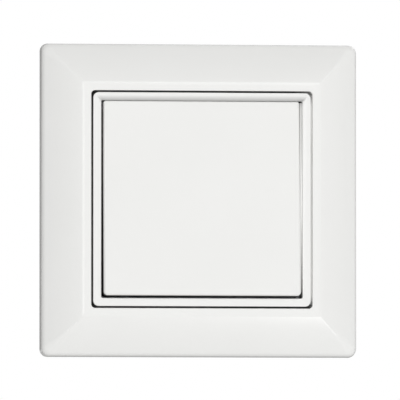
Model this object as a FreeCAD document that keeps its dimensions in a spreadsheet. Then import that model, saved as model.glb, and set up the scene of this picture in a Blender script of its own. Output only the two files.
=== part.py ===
import FreeCAD, Part
import math
import os

import Sketcher
from FreeCAD import Placement, Rotation, Vector

# Flush push button light switch for one gang, in millimetres and degrees.
# X runs to the right, Z runs up and Y runs into the wall, whose face is the plane Y = 0.
# A height is counted from the wall towards the room, so what lies in the wall box has a negative one.
# The origin is the middle of the box-screw pattern.

SIZES = {
    # cover frame
    "frame_width": 81.4,
    "frame_height": 80.1,
    "frame_crest": 9.4,
    "frame_side": 2.9,
    "frame_draft": 4,
    "frame_edge": 1.0,
    "frame_bow": 60,
    "frame_corner": 2.0,
    "frame_wall": 1.8,
    "frame_rib": 1.0,
    "frame_rib_place": 19,
    "rim_width": 2.0,
    "opening_width": 56.8,
    "opening_corner": 1.25,
    "opening_edge": 0.25,
    "ledge_depth": 3.0,
    "ledge_width": 1.1,
    "ledge_wall": 1.4,
    # centre ring
    "ring_gap": 0.5,
    "ring_front": 9.5,
    "ring_lip": 0.6,
    "ring_slope": 1.45,
    "ring_drop": 0.25,
    "ring_top_drop": 1.15,
    "ring_corner": 1.1,
    "ring_edge": 0.18,
    "collar_gap": 0.2,
    "collar_back": 3.2,
    "hook_place": 12,
    "hook_width": 5,
    "hook_barb": 0.8,
    "hook_tail": 1.4,
    "hook_gap": 0.15,
    # push button
    "button_gap_side": 0.55,
    "button_gap_end": 0.35,
    "button_front": 9.4,
    "button_depth": 5.8,
    "button_wall": 1.5,
    "button_edge": 0.8,
    "button_corner": 1.0,
    "button_rib": 1.0,
    "button_rib_place": 17,
    "clip_width": 6,
    "clip_wall": 1.2,
    "clip_barb": 0.6,
    "clip_inset": 4.0,
    # rocker
    "axis_height": 4.0,
    "rest_tilt": 3.3,
    "press_angle": 6.6,
    "yoke_inset": 3.0,
    "yoke_wall": 1.4,
    "yoke_front": 3.0,
    "yoke_corner": 1.5,
    "cheek_wall": 1.8,
    "cheek_radius": 2.4,
    "trunnion_radius": 1.5,
    "trunnion_length": 2.3,
    "foot_inset": 8.5,
    "foot_drop": 1.2,
    "foot_radius": 1.0,
    "foot_length": 10,
    "touch_gap": 0.05,
    "slide_gap": 0.08,
    "play": 0.2,
    # plunger and springs
    "plunger_radius": 2.0,
    "plunger_bevel": 0.2,
    "plunger_shoulder": 2.6,
    "plunger_step": 0.9,
    "stem_radius": 1.0,
    "collar_radius": 1.8,
    "collar_wall": 0.8,
    "stem_tail": 1.5,
    "spring_radius": 1.55,
    "spring_wire": 0.22,
    "contact_turns": 2.5,
    "return_turns": 4,
    # contacts
    "bridge_front": 8.5,
    "bridge_wall": 0.8,
    "bridge_width": 4,
    "bridge_corner": 0.6,
    "contact_inset": 12.5,
    "contact_gap": 1.0,
    "tip_radius": 1.2,
    "tip_wall": 0.5,
    "strip_width": 4.2,
    "strip_wall": 0.9,
    "strip_tail": 3.0,
    "strip_lap": 0.6,
    # terminals
    "terminal_inset": 7.5,
    "cage_width": 6.8,
    "cage_depth": 6,
    "cage_wall": 1.1,
    "cage_nut": 2.0,
    "cage_gap": 0.1,
    "wire_space": 3.0,
    "screw_radius": 1.5,
    "terminal_head_radius": 2.5,
    "terminal_head": 2.0,
    "terminal_sink": 0.6,
    "driver_slot": 0.7,
    "driver_depth": 0.9,
    # housing and its cover
    "base_width": 41,
    "base_length": 41,
    "base_depth": 21,
    "base_cut": 7,
    "base_wall": 1.6,
    "base_edge": 0.8,
    "base_rib": 1.2,
    "post_width": 4.4,
    "wire_width": 3.5,
    "gauge_inset": 6.0,
    "gauge_width": 1.2,
    "gauge_length": 9,
    "recess_depth": 0.4,
    "cover_wall": 1.6,
    "cover_gap": 0.1,
    "cover_step": 0.8,
    "ear_wall": 2.0,
    "ear_margin": 0.5,
    "ear_radius": 2.6,
    "guide_wall": 1.2,
    "guide_depth": 5.0,
    "sleeve_depth": 4.0,
    "sleeve_wall": 0.8,
    "stop_width": 2.0,
    "stop_length": 3.0,
    # support plate and rivets
    "plate_inset_side": 5.2,
    "plate_inset_end": 4.55,
    "plate_wall": 1.0,
    "plate_cut": 12,
    "plate_fold": 2.6,
    "plate_fold_length": 34,
    "window_inset_side": 6.6,
    "window_inset_end": 3.0,
    "window_corner": 1.5,
    "screw_spacing": 60,
    "screw_hole": 1.75,
    "level_slot": 5,
    "level_place": 8.5,
    "rivet_inset_side": 4.3,
    "rivet_inset_end": 8.0,
    "rivet_radius": 1.2,
    "rivet_head_radius": 2.1,
    "rivet_head": 0.5,
    # claws
    "claw_reach": 2.3,
    "claw_sink": 8,
    "claw_arm": 5.5,
    "claw_swing": 23.6,
    "claw_wall": 1.2,
    "claw_width": 7.2,
    "claw_eye": 1.9,
    "claw_hole": 2.0,
    "claw_rim": 0.6,
    "claw_foot": 11.5,
    "claw_spread": 6.3,
    "claw_knee": 5.2,
    "tooth_pitch": 2.4,
    "tooth_gap": 1.0,
    "pin_radius": 0.92,
    "pin_length": 11.4,
    "lug_wall": 1.6,
    "claw_head_radius": 2.6,
    "claw_head": 1.9,
    "claw_screw_length": 11.0,
}

doc = FreeCAD.newDocument("push_button_light_switch")
sheet = doc.addObject("Spreadsheet::Sheet", "Sizes")
SUB_PARTS = []


class Size:
    """A number together with the expression that ties it to the sheet."""

    def __init__(self, value, text):
        self.value = value
        self.text = text

    def __add__(self, other):
        other = size_of(other)
        return Size(self.value + other.value, f"({self.text} + {other.text})")

    def __radd__(self, other):
        return size_of(other) + self

    def __sub__(self, other):
        other = size_of(other)
        return Size(self.value - other.value, f"({self.text} - {other.text})")

    def __rsub__(self, other):
        return size_of(other) - self

    def __mul__(self, other):
        other = size_of(other)
        return Size(self.value * other.value, f"({self.text} * {other.text})")

    def __rmul__(self, other):
        return size_of(other) * self

    def __truediv__(self, other):
        other = size_of(other)
        return Size(self.value / other.value, f"({self.text} / {other.text})")

    def __neg__(self):
        return size_of(0) - self


class Named:
    """Holds every driving size under its own name."""


def size_of(number):
    """Any number as a Size."""
    return number if isinstance(number, Size) else Size(number, f"({number})")


def sine(angle):
    return Size(math.sin(math.radians(angle.value)), f"sin({angle.text})")


def cosine(angle):
    return Size(math.cos(math.radians(angle.value)), f"cos({angle.text})")


def tangent(angle):
    return Size(math.tan(math.radians(angle.value)), f"tan({angle.text})")


def fill_sheet():
    """Write the driving sizes into the sheet and hand them back by name."""
    named = Named()
    for row, (name, value) in enumerate(SIZES.items(), 1):
        sheet.set(f"A{row}", name)
        sheet.set(f"B{row}", str(value))
        sheet.setAlias(f"B{row}", name)
        setattr(named, name, Size(value, f"Sizes.{name}"))
    doc.recompute()
    return named


S = fill_sheet()


# Sketches and features


def new_body(label, turn=None, about=None, at=None):
    """A body for one sub-part, turned about an axis direction and moved to a place."""
    body = doc.addObject("PartDesign::Body", label)
    body.Label = label
    if turn is not None:
        body.Placement = Placement(Vector(), Rotation(about, turn.value))
        body.setExpression("Placement.Rotation.Angle", turn.text)
    for axis, place in zip("xyz", at or ()):
        body.setExpression(f"Placement.Base.{axis}", size_of(place).text)
    SUB_PARTS.append(body)
    return body


def origin_plane(body, role):
    return next(feature for feature in body.Origin.OriginFeatures if feature.Role == role)


def new_sketch(body, name, role, offset):
    """A sketch on one of the body's own planes, shifted along the plane's normal."""
    offset = size_of(offset)
    sketch = body.newObject("Sketcher::SketchObject", name)
    sketch.AttachmentSupport = (origin_plane(body, role), [""])
    sketch.MapMode = "FlatFace"
    sketch.AttachmentOffset = Placement(Vector(0, 0, offset.value), Rotation())
    sketch.setExpression("AttachmentOffset.Base.z", offset.text)
    return sketch


def tie(sketch, kind, elements, size):
    """A constraint whose value follows the sheet."""
    size = size_of(size)
    index = sketch.addConstraint(Sketcher.Constraint(kind, *elements, size.value))
    sketch.renameConstraint(index, f"size_{index}")
    sketch.setExpression(f"Constraints.size_{index}", size.text)


def fix_point(sketch, geometry, end, point):
    """Hold one end of a line or arc at a point that follows the sheet."""
    tie(sketch, "DistanceX", (-1, 1, geometry, end), point[0])
    tie(sketch, "DistanceY", (-1, 1, geometry, end), point[1])


def as_vector(point):
    return Vector(size_of(point[0]).value, size_of(point[1]).value, 0)


def add_lines(sketch, points, closed=True):
    """Straight lines through the points."""
    first = sketch.GeometryCount
    ends = points[1:] + points[:1]
    count = len(points) if closed else len(points) - 1
    for step in range(count):
        line = Part.LineSegment(as_vector(points[step]), as_vector(ends[step]))
        sketch.addGeometry(line, False)
        fix_point(sketch, first + step, 1, points[step])
    for step in range(count - 1):
        sketch.addConstraint(Sketcher.Constraint("Coincident", first + step, 2, first + step + 1, 1))
    if closed:
        sketch.addConstraint(Sketcher.Constraint("Coincident", first + count - 1, 2, first, 1))
    else:
        fix_point(sketch, first + count - 1, 2, points[-1])


def add_circle(sketch, x, y, radius):
    circle = Part.Circle(as_vector((x, y)), Vector(0, 0, 1), size_of(radius).value)
    index = sketch.addGeometry(circle, False)
    fix_point(sketch, index, 3, (x, y))
    tie(sketch, "Radius", (index,), radius)


def draw(body, name, role, offset, loops):
    """A sketch of closed loops: a list of points is a polygon, a tuple of three sizes is a circle."""
    sketch = new_sketch(body, name, role, offset)
    for loop in loops:
        if isinstance(loop, tuple):
            add_circle(sketch, *loop)
        else:
            add_lines(sketch, loop)
    return sketch


def pad(body, name, loops, low, high, role="XZ_Plane"):
    """Material between two levels along the plane's normal: on XZ_Plane they are heights."""
    feature = body.newObject("PartDesign::Pad", name)
    feature.Profile = draw(body, f"{name}_outline", role, low, loops)
    feature.setExpression("Length", (size_of(high) - low).text)
    doc.recompute()
    return feature


def pocket(body, name, loops, low, high, role="XZ_Plane"):
    """Material taken away between two levels along the plane's normal."""
    before = body.Shape.Volume
    feature = body.newObject("PartDesign::Pocket", name)
    feature.Profile = draw(body, f"{name}_outline", role, high, loops)
    feature.setExpression("Length", (size_of(high) - low).text)
    doc.recompute()
    if body.Shape.Volume >= before:
        raise ValueError(f"{body.Label}: {name} cuts nothing")
    return feature


def turned(body, name, points):
    """A turned piece: its outline is given as radius and height, its axis runs along Y."""
    feature = body.newObject("PartDesign::Revolution", name)
    outline = [(radius, -size_of(height)) for radius, height in points]
    sketch = draw(body, f"{name}_outline", "XY_Plane", 0, [outline])
    feature.Profile = sketch
    feature.ReferenceAxis = (sketch, ["V_Axis"])
    feature.Angle = 360
    doc.recompute()
    return feature


def mirrored(body, name, originals, role):
    """The same features again on the other side of one of the body's planes."""
    feature = body.newObject("PartDesign::Mirrored", name)
    feature.Originals = originals
    feature.MirrorPlane = (origin_plane(body, role), [""])
    body.Tip = feature
    doc.recompute()
    return feature


def fillet(body, name, radius, wanted):
    """Round every edge of the body so far for which wanted(edge) is true."""
    base = body.Tip
    picked = [f"Edge{n}" for n, edge in enumerate(base.Shape.Edges, 1) if wanted(edge)]
    feature = body.newObject("PartDesign::Fillet", name)
    feature.Base = (base, picked)
    feature.setExpression("Radius", size_of(radius).text)
    doc.recompute()
    return feature


def box_loop(x_low, x_high, z_low, z_high):
    """A rectangle, as the four corners of a closed loop."""
    return [(x_low, z_low), (x_high, z_low), (x_high, z_high), (x_low, z_high)]


def centred_loop(width, length):
    return box_loop(-width / 2, width / 2, -length / 2, length / 2)


def cut_corner_loop(width, length, cut):
    """A rectangle about the origin whose four corners are cut off at 45 degrees."""
    half_width = width / 2
    half_length = length / 2
    return [
        (half_width - cut, -half_length),
        (half_width, -half_length + cut),
        (half_width, half_length - cut),
        (half_width - cut, half_length),
        (-half_width + cut, half_length),
        (-half_width, half_length - cut),
        (-half_width, -half_length + cut),
        (-half_width + cut, -half_length),
    ]


def runs_along_y(edge):
    first = edge.Vertexes[0].Point
    last = edge.Vertexes[-1].Point
    flat = math.hypot(last.x - first.x, last.z - first.z)
    return flat < 1e-6 and abs(last.y - first.y) > 1e-3


def near(a, b):
    return abs(a - b) < 1e-4


# Places that several pieces share

opening_inset = (S.frame_width - S.opening_width) / 2
opening_length = S.frame_height - 2 * opening_inset
ledge_front = S.frame_crest - S.ledge_depth
ring_width = S.opening_width - 2 * S.ring_gap
ring_length = opening_length - 2 * S.ring_gap
window_inset = S.ring_lip + S.ring_slope
collar_inset = S.ledge_width - S.ring_gap + S.collar_gap
ring_window_width = ring_width - 2 * window_inset
ring_window_length = ring_length - 2 * window_inset
hook_inner = ring_width / 2 - window_inset
hook_outer = ring_width / 2 - collar_inset
window_width = S.base_width - 2 * S.window_inset_side
window_length = S.base_length - 2 * S.window_inset_end
yoke_width = window_width - 2 * (S.ear_margin + S.ear_wall + S.play)
yoke_length = window_length - 2 * S.yoke_inset
yoke_back = S.yoke_front - S.yoke_wall
ear_inner = yoke_width / 2 + S.play
foot_place = S.base_length / 2 - S.foot_inset
clip_place = foot_place - S.clip_inset
foot_level = S.axis_height - S.foot_drop * cosine(S.rest_tilt) - S.foot_radius
foot_swing = foot_place * sine(S.rest_tilt)
plunger_top = foot_level + foot_swing - S.touch_gap
bridge_back = -S.bridge_front - S.bridge_wall
moving_tip_back = bridge_back - S.tip_wall
strip_front = moving_tip_back - S.contact_gap - S.tip_wall
strip_back = strip_front - S.strip_wall
strip_foot = foot_place + S.strip_tail
terminal_place = S.base_length / 2 - S.terminal_inset
strip_head = terminal_place + S.cage_depth / 2 + S.strip_lap
cage_front = strip_front + S.cage_gap + S.cage_nut
cage_back = strip_back - S.wire_space - S.cage_wall
base_floor = S.base_wall - S.base_depth
shelf = -S.cover_wall
pin_x = S.base_width / 2 + S.claw_reach
claw_screw_x = pin_x + S.claw_arm
contact_place = S.base_width / 2 - S.contact_inset
rivet_x = S.base_width / 2 - S.rivet_inset_side
rivet_z = S.base_length / 2 - S.rivet_inset_end
plate_width = S.frame_width - 2 * S.plate_inset_side
plate_height = S.frame_height - 2 * S.plate_inset_end


# Cover frame


def moulding_edge(sketch, to_plane, stop=None):
    """Side wall, rounded edge and bowed slope of the moulding, as one smooth run.

    to_plane turns an inset and a height into the sketch's own two coordinates. The wall, the edge
    and the slope are tangent to each other. With a stop the slope ends at that inset, its full arc
    stays as a construction line, and the short arc and its free end are returned.
    """
    foot = to_plane(0, 0)
    wall_top = to_plane(S.frame_side * tangent(S.frame_draft), S.frame_side)
    rim_edge = to_plane(opening_inset - S.rim_width, S.frame_crest)
    wall = sketch.addGeometry(Part.LineSegment(as_vector(foot), as_vector(wall_top)), False)
    fix_point(sketch, wall, 1, foot)
    fix_point(sketch, wall, 2, wall_top)
    edge_radius = S.frame_edge.value
    bow_radius = S.frame_bow.value
    draft = math.radians(S.frame_draft.value)
    edge_centre = as_vector(wall_top) + Vector(math.sin(draft), math.cos(draft), 0) * edge_radius
    rim_point = as_vector(rim_edge)
    span = rim_point - edge_centre
    along = (bow_radius**2 - (bow_radius - edge_radius) ** 2 - span.Length**2) / (2 * span.Length)
    across = math.sqrt((bow_radius - edge_radius) ** 2 - along**2)
    span.normalize()
    bow_centre = edge_centre - span * along + Vector(span.y, -span.x, 0) * across
    meet = bow_centre + (edge_centre - bow_centre).normalize() * bow_radius
    edge = add_arc(sketch, edge_centre, edge_radius, meet, as_vector(wall_top))
    slope = add_arc(sketch, bow_centre, bow_radius, rim_point, meet)
    sketch.addConstraint(Sketcher.Constraint("Tangent", wall, 2, edge, 2))
    sketch.addConstraint(Sketcher.Constraint("Tangent", edge, 1, slope, 2))
    tie(sketch, "Radius", (edge,), S.frame_edge)
    tie(sketch, "Radius", (slope,), S.frame_bow)
    fix_point(sketch, slope, 1, rim_edge)
    if stop is None:
        return None
    sketch.toggleConstruction(slope)
    level = as_vector(to_plane(stop, 0)).y
    reach = math.sqrt(bow_radius**2 - (level - bow_centre.y) ** 2)
    part_end = Vector(bow_centre.x - reach, level, 0)
    short = add_arc(sketch, bow_centre, bow_radius, part_end, meet)
    sketch.addConstraint(Sketcher.Constraint("Coincident", short, 3, slope, 3))
    sketch.addConstraint(Sketcher.Constraint("Coincident", short, 2, edge, 1))
    tie(sketch, "DistanceY", (-1, 1, short, 1), to_plane(stop, 0)[1])
    return short, part_end


def add_arc(sketch, centre, radius, start, end):
    """An arc that runs anticlockwise from start to end."""
    first = math.atan2(start.y - centre.y, start.x - centre.x)
    last = math.atan2(end.y - centre.y, end.x - centre.x)
    circle = Part.Circle(centre, Vector(0, 0, 1), radius)
    return sketch.addGeometry(Part.ArcOfCircle(circle, first, last), False)


def cover_frame():
    body = new_body("cover_frame")
    half_width = S.frame_width / 2
    half_height = S.frame_height / 2
    spine = new_sketch(body, "outline", "XZ_Plane", 0)
    corners = [
        (0, -half_height),
        (half_width, -half_height),
        (half_width, half_height),
        (-half_width, half_height),
        (-half_width, -half_height),
        (0, -half_height),
    ]
    add_lines(spine, corners, closed=False)

    section = new_sketch(body, "moulding_section", "YZ_Plane", 0)

    def to_plane(inset, height):
        return (-size_of(height), size_of(inset) - half_height)

    moulding_edge(section, to_plane)
    under_rim = opening_inset - S.frame_wall
    ledge_back = ledge_front - S.ledge_wall
    under_crest = S.frame_crest - S.frame_wall
    inside = [
        (opening_inset - S.rim_width, S.frame_crest),
        (opening_inset, S.frame_crest),
        (opening_inset, ledge_front),
        (opening_inset + S.ledge_width, ledge_front),
        (opening_inset + S.ledge_width, ledge_back),
        (under_rim, ledge_back),
        (under_rim, under_crest),
        (opening_inset - S.rim_width, under_crest),
        (S.frame_wall, S.frame_side - S.frame_edge),
        (S.frame_wall, 0),
        (0, 0),
    ]
    points = [to_plane(inset, height) for inset, height in inside]
    add_lines(section, points, closed=False)
    doc.recompute()

    moulding = body.newObject("PartDesign::AdditivePipe", "moulding")
    moulding.Profile = section
    moulding.Spine = (spine, [])
    moulding.Transition = "Right corner"
    doc.recompute()

    # Each outer corner is the moulding turned about the centre of the corner's radius.
    right = round_corner(body, 1, "right")
    left = round_corner(body, -1, "left")
    mirrored(body, "top_corners", [right, left], "XY_Plane")

    half_opening = S.opening_width.value / 2
    crest = S.frame_crest.value
    fillet(
        body,
        "opening_corners",
        S.opening_corner,
        lambda e: runs_along_y(e)
        and near(abs(e.Vertexes[0].X), half_opening)
        and near(min(v.Y for v in e.Vertexes), -crest),
    )
    middle_of_rim = S.rim_width.value / 2
    fillet(
        body,
        "opening_rim",
        S.opening_edge,
        lambda e: all(near(v.Y, -crest) for v in e.Vertexes)
        and abs(e.CenterOfMass.x) < half_opening + middle_of_rim
        and abs(e.CenterOfMass.z) < opening_length.value / 2 + middle_of_rim,
    )
    frame_ribs(body)
    return body


def round_corner(body, side, word):
    """Take away what stands outside the rounded lower corner at one side."""
    half_height = S.frame_height / 2
    centre = side * (S.frame_width / 2 - S.frame_corner)
    sketch = new_sketch(body, f"corner_{word}_section", "YZ_Plane", centre)

    def to_plane(inset, height):
        return (-size_of(height), size_of(inset) - half_height)

    short, free_end = moulding_edge(sketch, to_plane, stop=S.frame_corner)
    axis_level = to_plane(S.frame_corner, 0)[1]
    far = -S.frame_crest
    outer = -half_height - S.frame_corner
    points = [
        (far, axis_level),
        (far, outer),
        (0, outer),
        (0, -half_height),
    ]
    first = sketch.GeometryCount
    start = Part.LineSegment(free_end, as_vector(points[0]))
    sketch.addGeometry(start, False)
    sketch.addConstraint(Sketcher.Constraint("Coincident", short, 1, first, 1))
    fix_point(sketch, first, 2, points[0])
    add_lines(sketch, points, closed=False)
    axis = Part.LineSegment(Vector(1, axis_level.value, 0), Vector(2, axis_level.value, 0))
    index = sketch.addGeometry(axis, True)
    fix_point(sketch, index, 1, (1, axis_level))
    fix_point(sketch, index, 2, (2, axis_level))
    doc.recompute()
    groove = body.newObject("PartDesign::Groove", f"corner_{word}")
    groove.Profile = sketch
    groove.ReferenceAxis = (sketch, ["Axis0"])
    groove.Angle = 90
    groove.Reversed = side > 0
    doc.recompute()
    return groove


def frame_ribs(body):
    """Stiffening ribs between the side walls and the opening, behind the slopes."""
    half_width = S.frame_width / 2
    half_height = S.frame_height / 2
    low = S.plate_wall + S.play
    profile = [
        (S.frame_wall / 2, low),
        (S.frame_wall / 2, S.frame_side - S.frame_edge),
        (opening_inset - S.rim_width, S.frame_crest - S.frame_wall / 2),
        (opening_inset - S.frame_wall / 2, S.frame_crest - S.frame_wall / 2),
        (opening_inset - S.frame_wall / 2, ledge_front - S.ledge_wall),
        (opening_inset - S.frame_wall, ledge_front - S.ledge_wall),
    ]
    upright = [(-height, inset - half_height) for inset, height in profile]
    level = [(inset - half_width, -height) for inset, height in profile]
    made = []
    for place, word in ((-S.frame_rib_place, "near"), (S.frame_rib_place, "far")):
        low_x = place - S.frame_rib / 2
        high_x = place + S.frame_rib / 2
        made.append(pad(body, f"bottom_rib_{word}", [upright], low_x, high_x, "YZ_Plane"))
        made.append(pad(body, f"left_rib_{word}", [level], low_x, high_x, "XY_Plane"))
    mirrored(body, "top_ribs", [made[0], made[2]], "XY_Plane")
    mirrored(body, "right_ribs", [made[1], made[3]], "YZ_Plane")


# Centre ring


def centre_ring():
    """The ring that fills the frame's opening and clips into the support plate."""
    body = new_body("centre_ring")
    half_width = ring_width / 2
    half_length = ring_length / 2
    spine = new_sketch(body, "outline", "XZ_Plane", 0)
    corners = [
        (0, -half_length),
        (half_width, -half_length),
        (half_width, half_length),
        (-half_width, half_length),
        (-half_width, -half_length),
        (0, -half_length),
    ]
    add_lines(spine, corners, closed=False)
    slope_end = S.ring_front - S.ring_drop
    section = [
        (0, ledge_front),
        (0, S.ring_front),
        (S.ring_lip, S.ring_front),
        (window_inset, slope_end),
        (window_inset, S.collar_back),
        (collar_inset, S.collar_back),
        (collar_inset, ledge_front),
    ]
    points = [(-size_of(height), inset - half_length) for inset, height in section]
    moulding = body.newObject("PartDesign::AdditivePipe", "ring_moulding")
    moulding.Profile = draw(body, "ring_section", "YZ_Plane", 0, [points])
    moulding.Spine = (spine, [])
    moulding.Transition = "Right corner"
    doc.recompute()
    fillet(
        body,
        "ring_corners",
        S.ring_corner,
        lambda e: runs_along_y(e)
        and near(abs(e.Vertexes[0].X), half_width.value)
        and near(min(v.Y for v in e.Vertexes), -S.ring_front.value),
    )
    middle_of_lip = half_width.value - S.ring_lip.value / 2
    fillet(
        body,
        "ring_lip_edge",
        S.ring_edge,
        lambda e: all(near(v.Y, -S.ring_front.value) for v in e.Vertexes)
        and not all(abs(v.X) < middle_of_lip and abs(v.Z) < middle_of_lip for v in e.Vertexes),
    )
    # The upper bar leans further in, because the button's top edge lies deeper.
    start = half_length - S.ring_lip
    end = half_length - window_inset
    above = -S.ring_front - S.play
    wedge = [
        (above, start),
        (-S.ring_front, start),
        (S.ring_top_drop - S.ring_front, end),
        (above, end),
    ]
    half_window = ring_window_width / 2
    pocket(body, "finger_bevel", [wedge], -half_window, half_window, "YZ_Plane")
    hook_back = -S.hook_tail
    hook = [
        (hook_inner, -S.collar_back - S.play),
        (hook_outer, -S.collar_back - S.play),
        (hook_outer, S.hook_gap),
        (hook_outer + S.hook_barb, S.hook_gap),
        (hook_outer + S.hook_barb, S.hook_gap + S.hook_barb / 2),
        (hook_outer, -hook_back),
        (hook_inner, -hook_back),
    ]
    low = S.hook_place - S.hook_width / 2
    high = S.hook_place + S.hook_width / 2
    right = pad(body, "hook_right_top", [hook], low, high, "XY_Plane")
    other = [(-x, y) for x, y in hook]
    left = pad(body, "hook_left_top", [other], low, high, "XY_Plane")
    mirrored(body, "lower_hooks", [right, left], "XY_Plane")
    return body


# Push button and rocker, modelled level about their axis and then tilted to rest


def rocking_body(label):
    """A body whose origin is the rocker's axis, tilted to its place at rest."""
    return new_body(label, S.rest_tilt, Vector(-1, 0, 0), (0, -S.axis_height, 0))


def button_cap():
    """Hollow push button with ribs and two clips that hold it on the yoke."""
    body = rocking_body("button_cap")
    width = ring_window_width - 2 * S.button_gap_side
    length = ring_window_length - 2 * S.button_gap_end
    front = S.button_front - S.axis_height
    back = front - S.button_depth
    ceiling = front - S.button_wall
    pad(body, "block", [centred_loop(width, length)], back, front)
    fillet(body, "block_corners", S.button_corner, runs_along_y)
    face = -front.value
    fillet(body, "face_edge", S.button_edge, lambda e: all(near(v.Y, face) for v in e.Vertexes))
    inner_width = width - 2 * S.button_wall
    inner_length = length - 2 * S.button_wall
    pocket(body, "cavity", [centred_loop(inner_width, inner_length)], back, ceiling)

    sides = []
    for place in (S.button_rib_place, -S.button_rib_place):
        sides.append(
            box_loop(
                place - S.button_rib / 2,
                place + S.button_rib / 2,
                -inner_length / 2,
                inner_length / 2,
            )
        )
    pad(body, "side_ribs", sides, back + S.button_wall, ceiling)
    bars = []
    for place in (S.button_rib_place, -S.button_rib_place):
        bars.append(
            box_loop(
                -S.button_rib_place,
                S.button_rib_place,
                place - S.button_rib / 2,
                place + S.button_rib / 2,
            )
        )
    pad(body, "cross_ribs", bars, S.yoke_front, ceiling)
    seats = []
    for place in (yoke_width / 4, -yoke_width / 4):
        seats.append(
            box_loop(
                place - S.button_rib / 2,
                place + S.button_rib / 2,
                -S.button_rib_place,
                S.button_rib_place,
            )
        )
    pad(body, "seat_ribs", seats, S.yoke_front, ceiling)

    barb_front = yoke_back - S.touch_gap
    clip = [
        (-ceiling, clip_place),
        (-ceiling, clip_place + S.clip_wall),
        (-barb_front, clip_place + S.clip_wall),
        (-barb_front, clip_place + S.clip_wall + S.clip_barb),
        (-barb_front + S.clip_barb, clip_place + S.clip_wall + S.clip_barb / 2),
        (-barb_front + S.clip_barb * 2, clip_place + S.clip_wall),
        (-barb_front + S.clip_barb * 2, clip_place),
    ]
    upper = pad(body, "upper_clip", [clip], -S.clip_width / 2, S.clip_width / 2, "YZ_Plane")
    mirrored(body, "lower_clip", [upper], "XY_Plane")
    return body


def rocker_yoke():
    """Rocker with two trunnions and two round-nosed feet."""
    body = rocking_body("rocker_yoke")
    half_width = yoke_width / 2
    outline = centred_loop(yoke_width, yoke_length)
    pad(body, "plate", [outline], yoke_back, S.yoke_front)
    fillet(body, "plate_corners", S.yoke_corner, runs_along_y)
    radius = S.cheek_radius
    block = box_loop(-yoke_back - S.yoke_wall / 2, 0, -radius, radius)
    for side in (1, -1):
        inner = side * (half_width - S.cheek_wall)
        outer = side * half_width
        low, high = (inner, outer) if side > 0 else (outer, inner)
        word = "right" if side > 0 else "left"
        pad(body, f"cheek_{word}", [block], low, high, "YZ_Plane")
        pad(body, f"cheek_round_{word}", [(0, 0, radius)], low, high, "YZ_Plane")
        tip = side * (half_width + S.trunnion_length)
        low, high = (outer, tip) if side > 0 else (tip, outer)
        pad(body, f"trunnion_{word}", [(0, 0, S.trunnion_radius)], low, high, "YZ_Plane")
    half_foot = S.foot_length / 2
    for end, word in ((1, "upper"), (-1, "lower")):
        place = end * foot_place
        web = box_loop(-yoke_back, S.foot_drop, place - S.foot_radius, place + S.foot_radius)
        pad(body, f"{word}_foot", [web], -half_foot, half_foot, "YZ_Plane")
        nose = (S.foot_drop, place, S.foot_radius)
        pad(body, f"{word}_nose", [nose], -half_foot, half_foot, "YZ_Plane")
    slots = []
    for end in (1, -1):
        inner = clip_place - S.play
        outer = clip_place + S.clip_wall + S.clip_barb + S.play / 2
        low, high = (inner, outer) if end > 0 else (-outer, -inner)
        half_slot = S.clip_width / 2 + S.play
        slots.append(box_loop(-half_slot, half_slot, low, high))
    pocket(body, "clip_slots", slots, yoke_back, S.yoke_front)
    return body


# Plunger, springs and contacts


def plunger():
    """Stepped pin that the lower foot pushes in."""
    body = new_body("plunger", at=(0, 0, -foot_place))
    shoulder_front = -S.guide_depth - S.cover_gap
    shoulder_back = shoulder_front - S.plunger_step
    collar_front = bridge_back - S.touch_gap
    collar_back = collar_front - S.collar_wall
    turned(
        body,
        "pin",
        [
            (0, plunger_top),
            (S.plunger_radius - S.plunger_bevel, plunger_top),
            (S.plunger_radius, plunger_top - S.plunger_bevel),
            (S.plunger_radius, shoulder_front),
            (S.plunger_shoulder, shoulder_front),
            (S.plunger_shoulder, shoulder_back),
            (S.stem_radius, shoulder_back),
            (S.stem_radius, collar_front),
            (S.collar_radius, collar_front),
            (S.collar_radius, collar_back),
            (S.stem_radius, collar_back),
            (S.stem_radius, collar_back - S.stem_tail),
            (0, collar_back - S.stem_tail),
        ],
    )
    return body


def coil_spring(label, front, back, turns):
    """Compression spring along Y, its wire centred on spring_radius and drawn square."""
    body = new_body(label, at=(0, 0, -foot_place))
    half = S.spring_wire
    centre_x = S.spring_radius
    centre_y = half - front
    wire = box_loop(centre_x - half, centre_x + half, centre_y - half, centre_y + half)
    sketch = draw(body, "wire", "XY_Plane", 0, [wire])
    helix = body.newObject("PartDesign::AdditiveHelix", "coil")
    helix.Profile = sketch
    helix.ReferenceAxis = (sketch, ["V_Axis"])
    helix.Mode = "height-turns-angle"
    height = front - back - 2 * S.spring_wire
    helix.setExpression("Height", height.text)
    helix.setExpression("Turns", turns.text)
    doc.recompute()
    return body


def contact_bridge():
    """Flat strip that joins the two fixed contacts when the button is pressed."""
    body = new_body("contact_bridge", at=(0, 0, -foot_place))
    length = 2 * (contact_place + S.tip_radius + S.play)
    pad(body, "strip", [centred_loop(length, S.bridge_width)], bridge_back, -S.bridge_front)
    fillet(body, "strip_corners", S.bridge_corner, runs_along_y)
    hole = S.stem_radius + S.slide_gap
    pocket(body, "stem_hole", [(0, 0, hole)], bridge_back, -S.bridge_front)
    return body


def contact_tips(label, high, low):
    """Two round contact tips, at the left and at the right."""
    body = new_body(label, at=(0, 0, -foot_place))
    spots = [(contact_place, 0, S.tip_radius), (-contact_place, 0, S.tip_radius)]
    pad(body, "tips", spots, low, high)
    return body


def fixed_contact(side, word):
    """Straight strip from a contact to its terminal, folded up at its end."""
    body = new_body(f"fixed_contact_{word}", at=(side * contact_place, 0, 0))
    half = S.strip_width / 2
    pad(
        body,
        "strip",
        [box_loop(-half, half, -strip_foot, strip_head)],
        strip_back,
        strip_front,
    )
    fold = box_loop(-half, half, -strip_foot, -strip_foot + S.strip_wall)
    pad(body, "fold", [fold], strip_back - S.wire_space, strip_back)
    return body


# Terminals


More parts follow.
